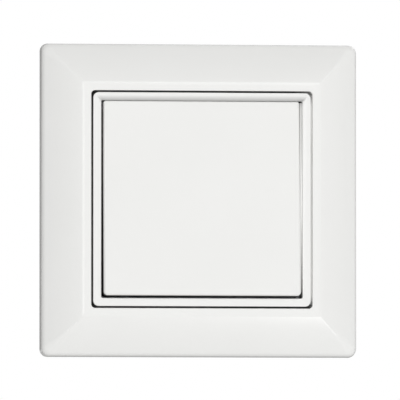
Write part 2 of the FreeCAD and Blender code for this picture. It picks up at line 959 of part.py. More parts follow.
def terminal_cage(side, word):
    """Lift cage: a square loop whose front wall is thick enough for a thread."""
    body = new_body(
        f"terminal_cage_{word}",
        at=(side * contact_place, 0, terminal_place),
    )
    half = S.cage_width / 2
    loop = box_loop(-half, half, -cage_front, -cage_back)
    low = -S.cage_depth / 2
    high = S.cage_depth / 2
    pad(body, "loop", [loop], low, high, "XY_Plane")
    inner = half - S.cage_wall
    window = box_loop(-inner, inner, S.cage_nut - cage_front, -cage_back - S.cage_wall)
    pocket(body, "wire_window", [window], low, high, "XY_Plane")
    bore = S.screw_radius + S.slide_gap
    pocket(body, "thread_bore", [(0, 0, bore)], cage_front - S.cage_nut, cage_front)
    return body


def slotted_screw(body, head_front, head_radius, head_height, tip):
    """Cheese-head screw along Y with a straight driver slot."""
    head_back = head_front - head_height
    turned(
        body,
        "screw",
        [
            (0, head_front),
            (head_radius, head_front),
            (head_radius, head_back),
            (S.screw_radius, head_back),
            (S.screw_radius, tip),
            (0, tip),
        ],
    )
    slot = centred_loop(2 * head_radius + S.play, S.driver_slot)
    pocket(body, "driver_slot", [slot], head_front - S.driver_depth, head_front)


def terminal_screw(side, word):
    body = new_body(
        f"terminal_screw_{word}",
        at=(side * contact_place, 0, terminal_place),
    )
    head_front = -S.terminal_sink
    tip = strip_front + S.touch_gap
    slotted_screw(body, head_front, S.terminal_head_radius, S.terminal_head, tip)
    return body


# Housing and its cover


def base_housing():
    """Moulded box behind the plate: cells for the terminals, posts, seats and claw lugs."""
    body = new_body("base_housing")
    outline = cut_corner_loop(S.base_width, S.base_length, S.base_cut)
    pad(body, "block", [outline], -S.base_depth, 0)
    rear = S.base_depth.value
    fillet(body, "rear_edge", S.base_edge, lambda e: all(near(v.Y, rear) for v in e.Vertexes))
    inner_width = S.base_width - 2 * S.base_wall
    inner_length = S.base_length - 2 * S.base_wall
    inner_cut = S.base_cut - S.base_wall * (2 - math.sqrt(2))
    inside = cut_corner_loop(inner_width, inner_length, inner_cut)
    pocket(body, "cavity", [inside], base_floor, 0)

    spots = []
    for side in (1, -1):
        for end in (1, -1):
            spots.append((side * rivet_x, end * rivet_z))
    half_post = S.post_width / 2
    posts = [box_loop(x - half_post, x + half_post, z - half_post, z + half_post) for x, z in spots]
    pad(body, "posts", posts, base_floor - S.base_wall / 2, shelf)

    reach = S.cage_width / 2 + S.play
    cell_floor = terminal_place - S.cage_depth / 2 - S.play
    walls = []
    for side in (1, -1):
        for step in (-1, 1):
            near_x = side * contact_place + step * reach
            far_x = near_x + step * S.base_rib
            low, high = (far_x, near_x) if step < 0 else (near_x, far_x)
            walls.append(box_loop(low, high, cell_floor, inner_length / 2 + S.base_wall / 2))
    pad(body, "cell_walls", walls, base_floor - S.base_wall / 2, shelf)

    seats = []
    rests = (-strip_foot + S.strip_wall + S.play, -S.cage_depth)
    for side in (1, -1):
        for start in rests:
            half = S.strip_width / 2
            centre = side * contact_place
            seats.append(box_loop(centre - half, centre + half, start, start + S.base_rib * 2))
    pad(body, "strip_seats", seats, base_floor - S.base_wall / 2, strip_back)

    spring_post = (0, -foot_place, S.spring_radius - S.spring_wire - S.cover_gap)
    pad(body, "spring_post", [spring_post], base_floor - S.base_wall / 2, base_floor + S.base_wall)

    entries = []
    for side in (1, -1):
        centre = side * contact_place
        half = S.wire_width / 2
        entries.append(
            box_loop(centre - half, centre + half, -strip_back + S.cage_gap, -strip_back + S.wire_space)
        )
    wall_low = inner_length / 2 - S.play
    pocket(body, "wire_entries", entries, wall_low, S.base_length / 2, "XY_Plane")

    # Behind is a groove as long as the insulation to strip from a wire.
    gauge_place = S.gauge_inset - S.base_length / 2
    half_gauge = S.gauge_width / 2
    recesses = [
        box_loop(
            -S.gauge_length / 2,
            S.gauge_length / 2,
            gauge_place - half_gauge,
            gauge_place + half_gauge,
        ),
    ]
    pocket(body, "rear_recesses", recesses, -S.base_depth, S.recess_depth - S.base_depth)

    bores = [(x, z, S.rivet_radius + S.cover_gap) for x, z in spots]
    pocket(body, "rivet_bores", bores, -S.base_depth, 0)
    claw_lugs(body)
    return body


def claw_lugs(body):
    """Pairs of lugs on the housing's sides that hold the claws' hinge pins."""
    wall = S.base_width / 2
    eye = S.claw_eye
    inner = S.claw_width / 2 + S.play
    lug = [
        (wall - S.base_wall / 2, S.claw_sink - 2 * eye),
        (pin_x + eye / 2, S.claw_sink - eye),
        (pin_x + eye, S.claw_sink - eye / 2),
        (pin_x + eye, S.claw_sink + eye / 2),
        (pin_x + eye / 2, S.claw_sink + eye),
        (wall - S.base_wall / 2, S.claw_sink + 2 * eye),
    ]
    other = [(-x, y) for x, y in lug]
    right = pad(body, "lug_right", [lug], inner, inner + S.lug_wall, "XY_Plane")
    left = pad(body, "lug_left", [other], inner, inner + S.lug_wall, "XY_Plane")
    mirrored(body, "lower_lugs", [right, left], "XY_Plane")
    bores = [(side * pin_x, S.claw_sink, S.pin_radius + S.touch_gap) for side in (1, -1)]
    reach = inner + S.lug_wall
    pocket(body, "pin_bores", bores, -reach, reach, "XY_Plane")


def housing_cover():
    """Lid of the housing: bearings of the rocker, guide of the plunger, sleeves of the screws."""
    body = new_body("housing_cover")
    margin = S.base_wall + S.cover_gap
    inner_cut = S.base_cut - margin * (2 - math.sqrt(2))
    flange = cut_corner_loop(S.base_width - 2 * margin, S.base_length - 2 * margin, inner_cut)
    pad(body, "flange", [flange], shelf, 0)
    step_width = window_width - 2 * S.play
    step_length = window_length - 2 * S.play
    pad(body, "step", [centred_loop(step_width, step_length)], shelf / 2, S.cover_step)
    step_edges = (step_width.value / 2, step_length.value / 2)
    fillet(
        body,
        "step_corners",
        S.window_corner,
        lambda e: runs_along_y(e)
        and near(abs(e.Vertexes[0].X), step_edges[0])
        and near(abs(e.Vertexes[0].Z), step_edges[1]),
    )

    for side, word in ((1, "right"), (-1, "left")):
        inner = side * ear_inner
        outer = side * (ear_inner + S.ear_wall)
        low, high = (inner, outer) if side > 0 else (outer, inner)
        block = box_loop(-S.axis_height, -S.cover_step / 2, -S.ear_radius, S.ear_radius)
        pad(body, f"ear_{word}", [block], low, high, "YZ_Plane")
        round_end = (-S.axis_height, 0, S.ear_radius)
        pad(body, f"ear_round_{word}", [round_end], low, high, "YZ_Plane")
    bearing = (-S.axis_height, 0, S.trunnion_radius + S.slide_gap)
    reach = ear_inner + S.ear_wall
    pocket(body, "bearings", [bearing], -reach, reach, "YZ_Plane")

    guide_bore = S.plunger_radius + S.slide_gap
    guide = (0, -foot_place, guide_bore + S.guide_wall)
    pad(body, "guide", [guide], -S.guide_depth, shelf / 2)
    pocket(body, "guide_bore", [(0, -foot_place, guide_bore)], -S.guide_depth, S.cover_step)

    head_bore = S.terminal_head_radius + S.play
    spots = [(side * contact_place, terminal_place) for side in (1, -1)]
    sleeves = [(x, z, head_bore + S.sleeve_wall) for x, z in spots]
    pad(body, "sleeves", sleeves, -S.sleeve_depth, shelf / 2)
    bores = [(x, z, head_bore) for x, z in spots]
    pocket(body, "sleeve_bores", bores, -S.sleeve_depth, S.cover_step)

    upper_stop = foot_level - foot_swing - S.touch_gap
    lower_stop = lowest_foot() - S.touch_gap
    for end, top, word in ((1, upper_stop, "upper"), (-1, lower_stop, "lower")):
        stops = []
        for side in (1, -1):
            centre = side * (S.foot_length / 2 - S.stop_width / 2)
            place = end * foot_place
            stops.append(
                box_loop(
                    centre - S.stop_width / 2,
                    centre + S.stop_width / 2,
                    place - S.stop_length / 2,
                    place + S.stop_length / 2,
                )
            )
        pad(body, f"{word}_stops", stops, S.cover_step / 2, top)

    rivets = []
    for side in (1, -1):
        for end in (1, -1):
            bore = S.rivet_radius + S.cover_gap
            rivets.append((side * rivet_x, end * rivet_z, bore))
    pocket(body, "rivet_bores", rivets, shelf, 0)
    return body


def lowest_foot():
    """Height of the lower foot's nose when the button is pressed home."""
    angle = S.press_angle - S.rest_tilt
    drop = S.foot_drop * cosine(angle) + foot_place * sine(angle)
    return S.axis_height - drop - S.foot_radius


# Support plate and rivets


def support_plate():
    """Pressed steel plate with folded edges that carries everything on the wall box."""
    body = new_body("support_plate")
    outline = cut_corner_loop(plate_width, plate_height, S.plate_cut)
    pad(body, "sheet", [outline], 0, S.plate_wall)
    pocket(body, "window", [centred_loop(window_width, window_length)], 0, S.plate_wall)
    half_window = window_width.value / 2
    fillet(
        body,
        "window_corners",
        S.window_corner,
        lambda e: runs_along_y(e) and near(abs(e.Vertexes[0].X), half_window),
    )
    half_plate = plate_height / 2
    half_fold = S.plate_fold_length / 2
    inner = half_plate - S.plate_wall
    folds = [
        box_loop(-half_fold, half_fold, inner, half_plate),
        box_loop(-half_fold, half_fold, -half_plate, -inner),
    ]
    pad(body, "folds", folds, S.plate_wall / 2, S.plate_fold)

    half_spacing = S.screw_spacing / 2
    holes = [(0, end * half_spacing, S.screw_hole) for end in (1, -1)]
    holes += [(side * claw_screw_x, 0, S.screw_radius + S.slide_gap) for side in (1, -1)]
    for side in (1, -1):
        for end in (1, -1):
            rivet = S.rivet_radius + S.cover_gap
            holes.append((side * rivet_x, end * rivet_z, rivet))
    pocket(body, "round_holes", holes, 0, S.plate_wall)

    slots = []
    for side in (1, -1):
        for end in (1, -1):
            low_x, high_x = ordered(
                side * (hook_inner - S.play),
                side * (hook_outer + S.hook_barb + S.play),
            )
            low_z, high_z = ordered(
                end * (S.hook_place - S.hook_width / 2 - S.play),
                end * (S.hook_place + S.hook_width / 2 + S.play),
            )
            slots.append(box_loop(low_x, high_x, low_z, high_z))
            low_x, high_x = ordered(
                side * (S.level_place - S.level_slot / 2),
                side * (S.level_place + S.level_slot / 2),
            )
            low_z, high_z = ordered(
                end * (half_spacing - S.screw_hole),
                end * (half_spacing + S.screw_hole),
            )
            slots.append(box_loop(low_x, high_x, low_z, high_z))
    pocket(body, "slots", slots, 0, S.plate_wall)

    def ends_level_slot(edge):
        x = abs(abs(edge.Vertexes[0].X) - S.level_place.value)
        z = abs(abs(edge.Vertexes[0].Z) - half_spacing.value)
        half_slot = S.level_slot.value / 2
        return runs_along_y(edge) and near(x, half_slot) and near(z, S.screw_hole.value)

    fillet(body, "level_slot_ends", S.screw_hole - S.touch_gap, ends_level_slot)
    return body


def ordered(a, b):
    """Two sizes with the smaller first."""
    return (a, b) if a.value < b.value else (b, a)


def plate_rivets():
    """Four rivets through plate, lid and housing."""
    rear = -S.base_depth
    front = S.plate_wall
    body = new_body("plate_rivets")
    for side in (1, -1):
        for end in (1, -1):
            word = f"{'right' if side > 0 else 'left'}_{'top' if end > 0 else 'bottom'}"
            x = side * rivet_x
            z = end * rivet_z
            pad(body, f"shank_{word}", [(x, z, S.rivet_radius)], rear - S.rivet_head / 2, front)
            pad(body, f"head_{word}", [(x, z, S.rivet_head_radius)], front, front + S.rivet_head)
            pad(body, f"foot_{word}", [(x, z, S.rivet_head_radius)], rear - S.rivet_head, rear)
    return body


# Claws


def claw(side, word):
    """Claw of bent steel that turns about its pin as its screw is tightened."""
    half_swing = S.claw_swing / 2
    body = new_body(
        f"claw_{word}",
        half_swing,
        Vector(0, 0, side),
        (side * pin_x, S.claw_sink, 0),
    )
    half = S.claw_width / 2
    wall = S.claw_wall
    reach = S.claw_arm + S.claw_hole + S.claw_rim

    def loop(points):
        return [(side * x, y) for x, y in points]

    tab = loop([(0, -wall / 2), (reach, -wall / 2), (reach, wall / 2), (0, wall / 2)])
    pad(body, "tab", [tab], -half, half, "XY_Plane")
    arm = loop(
        [
            (0, 0),
            (wall, 0),
            (wall + S.play, S.claw_knee),
            (S.claw_spread, S.claw_foot - wall),
            (S.claw_spread, S.claw_foot),
            (S.claw_spread - wall, S.claw_foot),
            (S.play, S.claw_knee + wall / 2),
        ]
    )
    pad(body, "arm", [arm], -half, half, "XY_Plane")
    pad(body, "eye", [(0, 0, S.claw_eye)], -half, half, "XY_Plane")
    pocket(body, "pin_hole", [(0, 0, S.pin_radius + S.slide_gap)], -half, half, "XY_Plane")
    hole = (side * S.claw_arm, 0, S.claw_hole)
    pocket(body, "screw_hole", [hole], -wall, wall)
    gaps = []
    for step in (-1, 0, 1):
        centre = step * S.tooth_pitch
        low, high = ordered(side * (S.claw_spread - wall), side * (S.claw_spread + wall))
        gaps.append(box_loop(low, high, centre - S.tooth_gap / 2, centre + S.tooth_gap / 2))
    pocket(body, "tooth_gaps", gaps, -S.claw_foot - wall, -S.claw_foot + 2 * wall)
    return body


def claw_pin(side, word):
    body = new_body(f"claw_pin_{word}", at=(side * pin_x, S.claw_sink, 0))
    half = S.pin_length / 2
    pad(body, "pin", [(0, 0, S.pin_radius)], -half, half, "XY_Plane")
    return body


def claw_screw(side, word):
    body = new_body(f"claw_screw_{word}", at=(side * claw_screw_x, 0, 0))
    head_front = S.plate_wall + S.touch_gap + S.claw_head
    tip = -S.claw_screw_length
    slotted_screw(body, head_front, S.claw_head_radius, S.claw_head, tip)
    return body


def build_all():
    """Every sub-part, from the room side to the wall box."""
    cover_frame()
    centre_ring()
    button_cap()
    rocker_yoke()
    plunger()
    shoulder_back = -S.guide_depth - S.cover_gap - S.plunger_step
    seat = S.touch_gap - S.bridge_front
    coil_spring("contact_spring", shoulder_back - S.touch_gap, seat, S.contact_turns)
    collar_back = bridge_back - S.touch_gap - S.collar_wall
    seat = base_floor + S.touch_gap
    coil_spring("return_spring", collar_back - S.touch_gap, seat, S.return_turns)
    contact_bridge()
    contact_tips("bridge_contact_tips", bridge_back, moving_tip_back)
    contact_tips("fixed_contact_tips", strip_front + S.tip_wall, strip_front)
    for side, word in ((-1, "left"), (1, "right")):
        fixed_contact(side, word)
        terminal_cage(side, word)
        terminal_screw(side, word)
        claw(side, word)
        claw_pin(side, word)
        claw_screw(side, word)
    base_housing()
    housing_cover()
    support_plate()
    plate_rivets()


def check_document():
    """Stop if any object failed or any sub-part isn't sound."""
    for thing in doc.Objects:
        if "Invalid" in thing.State or "Error" in thing.State:
            raise ValueError(f"{thing.Label} failed: {thing.State}")
    for body in SUB_PARTS:
        shape = body.Shape
        if shape.isNull() or not shape.isValid() or not shape.Solids:
            raise ValueError(f"{body.Label} is not a sound solid")


def write_parts():
    os.makedirs("parts", exist_ok=True)
    for body in SUB_PARTS:
        body.Shape.exportStep(f"parts/{body.Label}.step")
        print(f"{body.Label}: {len(body.Shape.Solids)} solid(s), {body.Shape.Volume:.1f} mm3")


build_all()
doc.recompute()
check_document()
write_parts()
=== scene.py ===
# %% [markdown]
# # A push button light switch
#
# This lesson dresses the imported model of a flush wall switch. The real one is three white
# mouldings over a steel plate: a cover frame with sloping sides, a thin ring clipped inside it,
# and one square button that rocks. Behind the plate stand a moulded housing with the contacts,
# two claws that grip the wall box, and their screws.
#
# The model's own parts have true shapes already, so most of them only need a finish. New surfaces
# are made where a moulder's or a screw maker's shape is softer or finer than the solid: the frame
# with its fading mitres, the ring with its bowed upper bar, the button's crisp upper edge, the
# threads, the rolled rivets and the round wire of the springs.

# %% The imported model
import math

import bpy
import numpy as np
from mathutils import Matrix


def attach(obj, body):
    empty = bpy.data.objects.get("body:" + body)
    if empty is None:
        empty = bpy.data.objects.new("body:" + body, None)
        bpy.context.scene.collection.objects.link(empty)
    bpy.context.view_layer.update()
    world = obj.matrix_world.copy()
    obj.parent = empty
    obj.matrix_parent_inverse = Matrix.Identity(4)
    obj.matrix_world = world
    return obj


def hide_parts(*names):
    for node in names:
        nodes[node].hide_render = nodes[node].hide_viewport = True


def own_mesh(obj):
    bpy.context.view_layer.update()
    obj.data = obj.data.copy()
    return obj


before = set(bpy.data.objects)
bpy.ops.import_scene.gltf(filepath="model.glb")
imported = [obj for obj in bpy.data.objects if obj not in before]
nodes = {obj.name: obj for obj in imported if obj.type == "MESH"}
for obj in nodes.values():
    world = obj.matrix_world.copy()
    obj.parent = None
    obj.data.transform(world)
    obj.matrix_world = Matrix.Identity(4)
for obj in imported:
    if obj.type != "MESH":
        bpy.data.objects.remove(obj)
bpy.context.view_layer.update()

# %% [markdown]
# ## Surfaces from arrays
#
# Every new piece is a grid of points: rows run along one direction of the surface and columns
# along the other. A grid whose rows or columns close on themselves is a ring or a tube, and an
# end that stays open gets one flat face. Curves with a bevel or a screw modifier could make such
# shapes too, but a grid keeps every size exact, and each piece comes out closed. All points are
# worked out as whole arrays, and the mesh is filled in one go, with no loop over the points.

# %% A mesh from a grid of points
MM = 0.001
CRISP_ANGLE = 35
TOLERANCE = 0.01


def grid_faces(rows, columns, wrap_rows, wrap_columns):
    """Four corners for each cell of the grid, in the order that faces one way."""
    row = np.arange(rows if wrap_rows else rows - 1)
    column = np.arange(columns if wrap_columns else columns - 1)
    row, column = (a.ravel() for a in np.meshgrid(row, column, indexing="ij"))
    next_row, next_column = (row + 1) % rows, (column + 1) % columns
    corners = ((row, column), (next_row, column), (next_row, next_column), (row, next_column))
    return np.stack([r * columns + c for r, c in corners], axis=1)


def face_outwards(mesh):
    """Turn the whole mesh the right way round if the volume it encloses comes out negative."""
    mesh.calc_loop_triangles()
    corners = np.empty(len(mesh.loop_triangles) * 3, int)
    mesh.loop_triangles.foreach_get("vertices", corners)
    places = np.empty(len(mesh.vertices) * 3)
    mesh.vertices.foreach_get("co", places)
    a, b, c = places.reshape(-1, 3)[corners].reshape(-1, 3, 3).swapaxes(0, 1)
    if (a * np.cross(b, c)).sum() < 0:
        mesh.flip_normals()


def surface(name, grids, wrap_rows=False, wrap_columns=False, caps=False):
    """One object from one or more grids of points in millimetres.

    Each grid is an array of rows x columns x 3. caps closes the first and the last row with a
    flat face. Edges that turn by more than CRISP_ANGLE stay crisp, and the rest look smooth.
    """
    points, faces, shift = [], [], 0
    for grid in grids:
        rows, columns = grid.shape[:2]
        points.append(grid.reshape(-1, 3))
        cells = grid_faces(rows, columns, wrap_rows, wrap_columns) + shift
        faces += cells.tolist()
        if caps:
            faces.append((shift + np.arange(columns)).tolist())
            faces.append((shift + (rows - 1) * columns + np.arange(columns)[::-1]).tolist())
        shift += rows * columns
    mesh = bpy.data.meshes.new(name)
    mesh.from_pydata(np.concatenate(points) * MM, [], faces)
    face_outwards(mesh)
    mesh.polygons.foreach_set("use_smooth", np.ones(len(mesh.polygons), bool))
    mesh.set_sharp_from_angle(angle=math.radians(CRISP_ANGLE))
    piece = bpy.data.objects.new(name, mesh)
    bpy.context.scene.collection.objects.link(piece)
    print(f"{name}: {len(mesh.vertices)} points, {len(mesh.polygons)} faces")
    return piece


# %% [markdown]
# ## Three kinds of grid, and a piece's place in the mechanism
#
# Most pieces of a switch are drawn out, turned on a lathe or repeated on four sides, so three
# small functions give their grids. A finished piece then gets its material, the body that it
# moves with, and the parts of the model that it stands for.

# %% Drawn, turned and repeated shapes
def prism(outline, low, high, axis):
    """A flat outline drawn out between two levels along one of the axes 0, 1 and 2.

    The outline holds the two coordinates that don't lie along the axis, in their usual order.
    """
    return np.stack([np.insert(outline, axis, level, axis=1) for level in (low, high)])


def quarter_turned(grid, quarters):
    """The grid turned about the Y axis by quarters of a turn: x and z change places and sign."""
    cosine, sine = ((1, 0), (0, 1), (-1, 0), (0, -1))[quarters]
    x, y, z = np.moveaxis(grid, 2, 0)
    return np.stack([x * cosine + z * sine, y, z * cosine - x * sine], axis=2)


def turned(profile, centre, columns, swell=0.0):
    """Rows follow a profile of radius and height, and columns go round the centre (x, z).

    At angle t a point lies at the radius times the cosine and sine of t. swell is added to the
    radius, and as an array of rows x columns it can draw a thread.
    """
    radius, height = np.asarray(profile, float).T[:, :, None]
    angle = np.arange(columns) * 2 * math.pi / columns
    radius = radius + swell
    x = centre[0] + radius * np.cos(angle)
    z = centre[1] + radius * np.sin(angle)
    return np.stack([x, -height + 0 * x, z], axis=2)


def dress(piece, body, finish, stands_for=()):
    """Give a new piece its finish, and let it move with its part of the mechanism."""
    piece.data.materials.append(finish)
    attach(piece, body)
    if stands_for:
        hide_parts(*stands_for)


# %% [markdown]
# ## Shader sums as plain Python
#
# A finish is a small tree of nodes. Sums in it are easier to read as expressions, so a socket is
# wrapped in a class whose + - * / add the Math nodes. Every other node comes from one method
# that takes the node's type, its settings and the values of its sockets.

# %% A wrapped socket and a node tree
class Wire:
    """An output socket that can be used in sums."""

    def __init__(self, tree, socket):
        self.tree = tree
        self.socket = socket

    def sum(self, operation, *values, clamp=False):
        settings = {"operation": operation, "use_clamp": clamp}
        return self.tree.node("ShaderNodeMath", settings, dict(enumerate(values)))[0]

    def __add__(self, other):
        return self.sum("ADD", self, other)

    def __sub__(self, other):
        return self.sum("SUBTRACT", self, other)

    def __mul__(self, other):
        return self.sum("MULTIPLY", self, other)

    def __truediv__(self, other):
        return self.sum("DIVIDE", self, other)

    def __rsub__(self, other):
        return self.sum("SUBTRACT", other, self)

    def __rtruediv__(self, other):
        return self.sum("DIVIDE", other, self)

    __radd__ = __add__
    __rmul__ = __mul__

    def clamped(self):
        return self.sum("ADD", self, 0.0, clamp=True)

    def magnitude(self):
        return self.sum("ABSOLUTE", self)

    def below(self, level):
        return self.sum("LESS_THAN", self, level)


class Tree:
    """The nodes of one material or of the world."""

    def __init__(self, owner):
        owner.use_nodes = True
        self.nodes = owner.node_tree.nodes
        self.links = owner.node_tree.links
        self.nodes.clear()

    def node(self, kind, settings=None, values=None):
        """Add a node, set it up, fill its sockets, and hand back its outputs."""
        made = self.nodes.new(kind)
        for key, value in (settings or {}).items():
            setattr(made, key, value)
        for key, value in (values or {}).items():
            if isinstance(value, Wire):
                self.links.new(value.socket, made.inputs[key])
            else:
                made.inputs[key].default_value = value
        return Outputs(self, made)


class Outputs:
    """A node's outputs by name or number."""

    def __init__(self, tree, made):
        self.tree = tree
        self.made = made

    def __getitem__(self, key):
        return Wire(self.tree, self.made.outputs[key])


# %% [markdown]
# ## Grain and flecks
#
# Two helpers serve every finish. A noise gives a soft random value at a chosen size, and a mix
# blends two colours by a mask. Sizes are given in millimetres of the real surface, because the
# materials read the object's own coordinates, which are in metres.

# %% Noise, colour mixes and the final shader
def noise(tree, size, detail, stretch=(1, 1, 1)):
    """Random values from 0 to 1 whose lumps are about size millimetres wide."""
    place = tree.node("ShaderNodeTexCoord")["Object"]
    mapping = tree.node("ShaderNodeMapping", None, {"Vector": place, "Scale": stretch})
    values = {"Vector": mapping["Vector"], "Scale": 1 / (size * MM), "Detail": detail}
    return tree.node("ShaderNodeTexNoise", None, values)["Fac"]


def blend(tree, mask, first, second):
    """The first colour where the mask is 0 and the second where it is 1.

    A Mix node has its sockets three times over, and those for colours come last.
    """
    sockets = {"Factor_Float": mask, "A_Color": first, "B_Color": second}
    mix = tree.node("ShaderNodeMix", {"data_type": "RGBA"})
    for socket in mix.made.inputs:
        value = sockets.get(socket.identifier)
        if isinstance(value, Wire):
            tree.links.new(value.socket, socket)
        elif value is not None:
            socket.default_value = (*value, 1.0)
    return Wire(tree, next(s for s in mix.made.outputs if s.identifier == "Result_Color"))


def new_finish(name):
    """An empty material, and its nodes to fill."""
    material = bpy.data.materials.new(name)
    return material, Tree(material)


def close(tree, values, bump, strength, depth):
    """The main shader of a finish. Its bump has a strength and a depth in millimetres."""
    relief = {"Strength": strength, "Distance": depth * MM, "Height": bump}
    values = {**values, "Normal": tree.node("ShaderNodeBump", None, relief)["Normal"]}
    shader = tree.node("ShaderNodeBsdfPrincipled", None, values)
    tree.node("ShaderNodeOutputMaterial", None, {"Surface": shader["BSDF"]})


# %% [markdown]
# ## Dust and painted shade in the gaps
#
# Dust gathers deep in the gaps round the ring and the button, where no cloth reaches, and the
# shade deep in those gaps is painted into the colour too, so they look darker than the rendered
# shadow alone. On the right, where the gaps catch light, the painted shade fades out, and the
# ring's upper bar, which faces down, gets a painted shade towards the button. It could be painted
# on as an image, or come from an ambient occlusion node. Here it follows the depth below the face,
# read from the piece's own coordinates, so it moves with the piece and can be baked.

# %% A mask for dust and painted shade
AXIS, FRONT = 4.0, 5.4
OPENING_X, OPENING_Z, BEHIND = 28.6, 27.95, 6.0
BAR_FOOT, BAR_TOP, BAR_SIDE = 24.6, 27.0, 27.5
# Where the dust and painted shade in the gaps start and thicken, and how deep the painted shade on
# the upper bar goes.
GAP_START, DARKENING_DEPTH, BAR_SHADE_DEPTH = 0.4, 1.0, 1.1
# The painted shade fades out on the right, where the gaps catch light.
LIT_SIDE_START, FADE, UPPER_FADE = 0.3, 2.0, 4


def gap_dust_and_shade(tree, tilt, darkening_top, bar_shade):
    """1 where dust and painted shade lie thick, and 0 where the plastic is clean and lit.

    The face lies FRONT from the rocker's axis along its own normal, which leans by tilt degrees.
    The depth of a point is FRONT less its distance along that normal. Inside the opening, dust
    and the painted shade of the deep gaps start at GAP_START and are thick DARKENING_DEPTH deeper,
    up to the level darkening_top. On the right, where the gaps catch light, once x less the
    magnitude of z passes LIT_SIDE_START, the mark fades out over FADE, and in the upper half the
    fade starts UPPER_FADE sooner. On the ring's upper bar, which faces down, a painted shade greys
    it towards the button instead, by the amount bar_shade.
    """
    place = tree.node("ShaderNodeTexCoord")["Object"]
    apart = tree.node("ShaderNodeSeparateXYZ", None, {"Vector": place})
    x, y, z = (apart[axis] * (1 / MM) for axis in "XYZ")
    lean = math.radians(tilt)
    depth = FRONT + (y + AXIS) * math.cos(lean) - z * math.sin(lean)
    inside = x.magnitude().below(OPENING_X) * z.magnitude().below(OPENING_Z) * depth.below(BEHIND)
    upper = (1 - z.below(0.0)) * UPPER_FADE
    rightness = (x - z.magnitude() - LIT_SIDE_START + upper) / (FADE + upper)
    inside = inside * (1 - rightness.clamped()) * z.below(darkening_top)
    bar = z.below(BAR_TOP) * (1 - z.below(BAR_FOOT)) * x.magnitude().below(BAR_SIDE)
    # Painted shade on the ring's upper bar, which faces down, greying it towards the button.
    painted_bar_shade = (depth / BAR_SHADE_DEPTH).clamped() * bar * bar_shade
    return ((depth - GAP_START) / DARKENING_DEPTH).clamped() * inside * (1 - bar) + painted_bar_shade


# %% [markdown]
# ## White moulded plastic
#
# The three pieces on show are injection moulded in the same glossy white. The tool's polish leaves
# a very slight orange peel, the gloss varies a little from place to place, and the white is a
# touch warm. A plain white would do from afar, but close up its reflections would be too even.
# The noise is kept faint, because on the real one only reflections give it away.

# %% Gloss white
PALE_WHITE, WARM_WHITE = (0.80, 0.80, 0.784), (0.825, 0.825, 0.81)
# The near-black of dust and painted shade in the gaps, and how much of the white it covers.
DUST_AND_SHADE_COLOUR, DUST_AND_SHADE_COVER = (0.03, 0.03, 0.029), 0.9
BUTTON_TILT = 3.3


def make_gloss_white(name, tone, tilt=0.0, darkening_top=99.0, bar_shade=0.0):
    """Glossy white, with dust and painted shade in its gaps. tone tells apart the batches of
    plastic the pieces come from.
    """
    material, tree = new_finish(name)
    dust_and_shade = gap_dust_and_shade(tree, tilt, darkening_top, bar_shade)
    cloud = noise(tree, size=18, detail=3)
    peel = noise(tree, size=0.9, detail=1)
    speck = noise(tree, size=0.25, detail=2)
    low, high = (np.array(shade) * tone for shade in (PALE_WHITE, WARM_WHITE))
    # Dust and painted shade darken the gaps over the mottled white.
    colour = blend(tree, dust_and_shade * DUST_AND_SHADE_COVER, blend(tree, cloud, low, high), DUST_AND_SHADE_COLOUR)
    roughness = 0.14 + cloud * 0.06 + speck * 0.04 + dust_and_shade * 0.5
    values = {"Base Color": colour, "Roughness": roughness, "Specular IOR Level": 0.3}
    close(tree, values, bump=peel, strength=0.12, depth=0.03)
    return material


gloss_white = make_gloss_white("gloss_white", tone=0.988)
# The ring's upper bar gets painted shade towards the button.
ring_white = make_gloss_white("ring_white", tone=0.995, bar_shade=0.6)
button_white = make_gloss_white("button_white", tone=0.982, tilt=BUTTON_TILT, darkening_top=23.0)
nodes["button_cap"].material_slots[0].material = button_white
print("white finishes:", gloss_white.name, ring_white.name, button_white.name)

# %% [markdown]
# ## Plastics that nobody sees from the front
#
# The housing and its lid are a hard matt plastic that stands the heat of the contacts. It comes
# out of a spark-eroded tool, so it has an even fine grain. The rocker and the plunger slide, so
# they are a smoother grey plastic. One function makes both, with its own colours and grain.

# %% Housing and slider plastics
def make_moulded(name, low, high, roughness, grain):
    """A matt moulding: grain in millimetres, mottled between two close colours."""
    material, tree = new_finish(name)
    cloud = noise(tree, size=9, detail=4)
    erosion = noise(tree, size=grain, detail=2)
    colour = blend(tree, cloud * 0.7 + erosion * 0.3, low, high)
    values = {"Base Color": colour, "Roughness": roughness + erosion * 0.18 - cloud * 0.06}
    close(tree, values, bump=erosion, strength=0.35, depth=0.04)
    return material


housing_grey = make_moulded("housing_grey", (0.55, 0.55, 0.53), (0.62, 0.62, 0.60), 0.42, 0.3)
slider_grey = make_moulded("slider_grey", (0.25, 0.26, 0.27), (0.30, 0.31, 0.32), 0.34, 0.15)
for name in ("base_housing", "housing_cover"):
    nodes[name].material_slots[0].material = housing_grey
for name in ("rocker_yoke", "plunger"):
    nodes[name].material_slots[0].material = slider_grey
print("grey finishes:", housing_grey.name, slider_grey.name)

# %% [markdown]
# ## Plated steel, brass and silver
#
# The plate and the claws are cut from rolled strip and then zinc plated: the roll leaves fine
# lines along the strip, and the plating a cloudy sheen with a trace of blue. The screws are plated
# too, but have no lines. Brass darkens a little where it is touched. The contact tips are pressed
# silver. Photographs of metal would show somebody's room in it, so the finishes are worked out.

# %% Metals
def make_zinc(name, stretch, lines):
    """Zinc plate over steel, with rolling lines along the direction that stretch shrinks."""
    material, tree = new_finish(name)
    cloud = noise(tree, size=6, detail=4)
    rolled = noise(tree, size=0.35, detail=3, stretch=stretch)
    colour = blend(tree, cloud * 0.6 + rolled * 0.4, (0.50, 0.52, 0.55), (0.74, 0.75, 0.76))
    roughness = 0.24 + cloud * 0.16 + rolled * lines
    values = {"Base Color": colour, "Metallic": 1.0, "Roughness": roughness}
    close(tree, values, bump=rolled, strength=lines, depth=0.03)
    return material


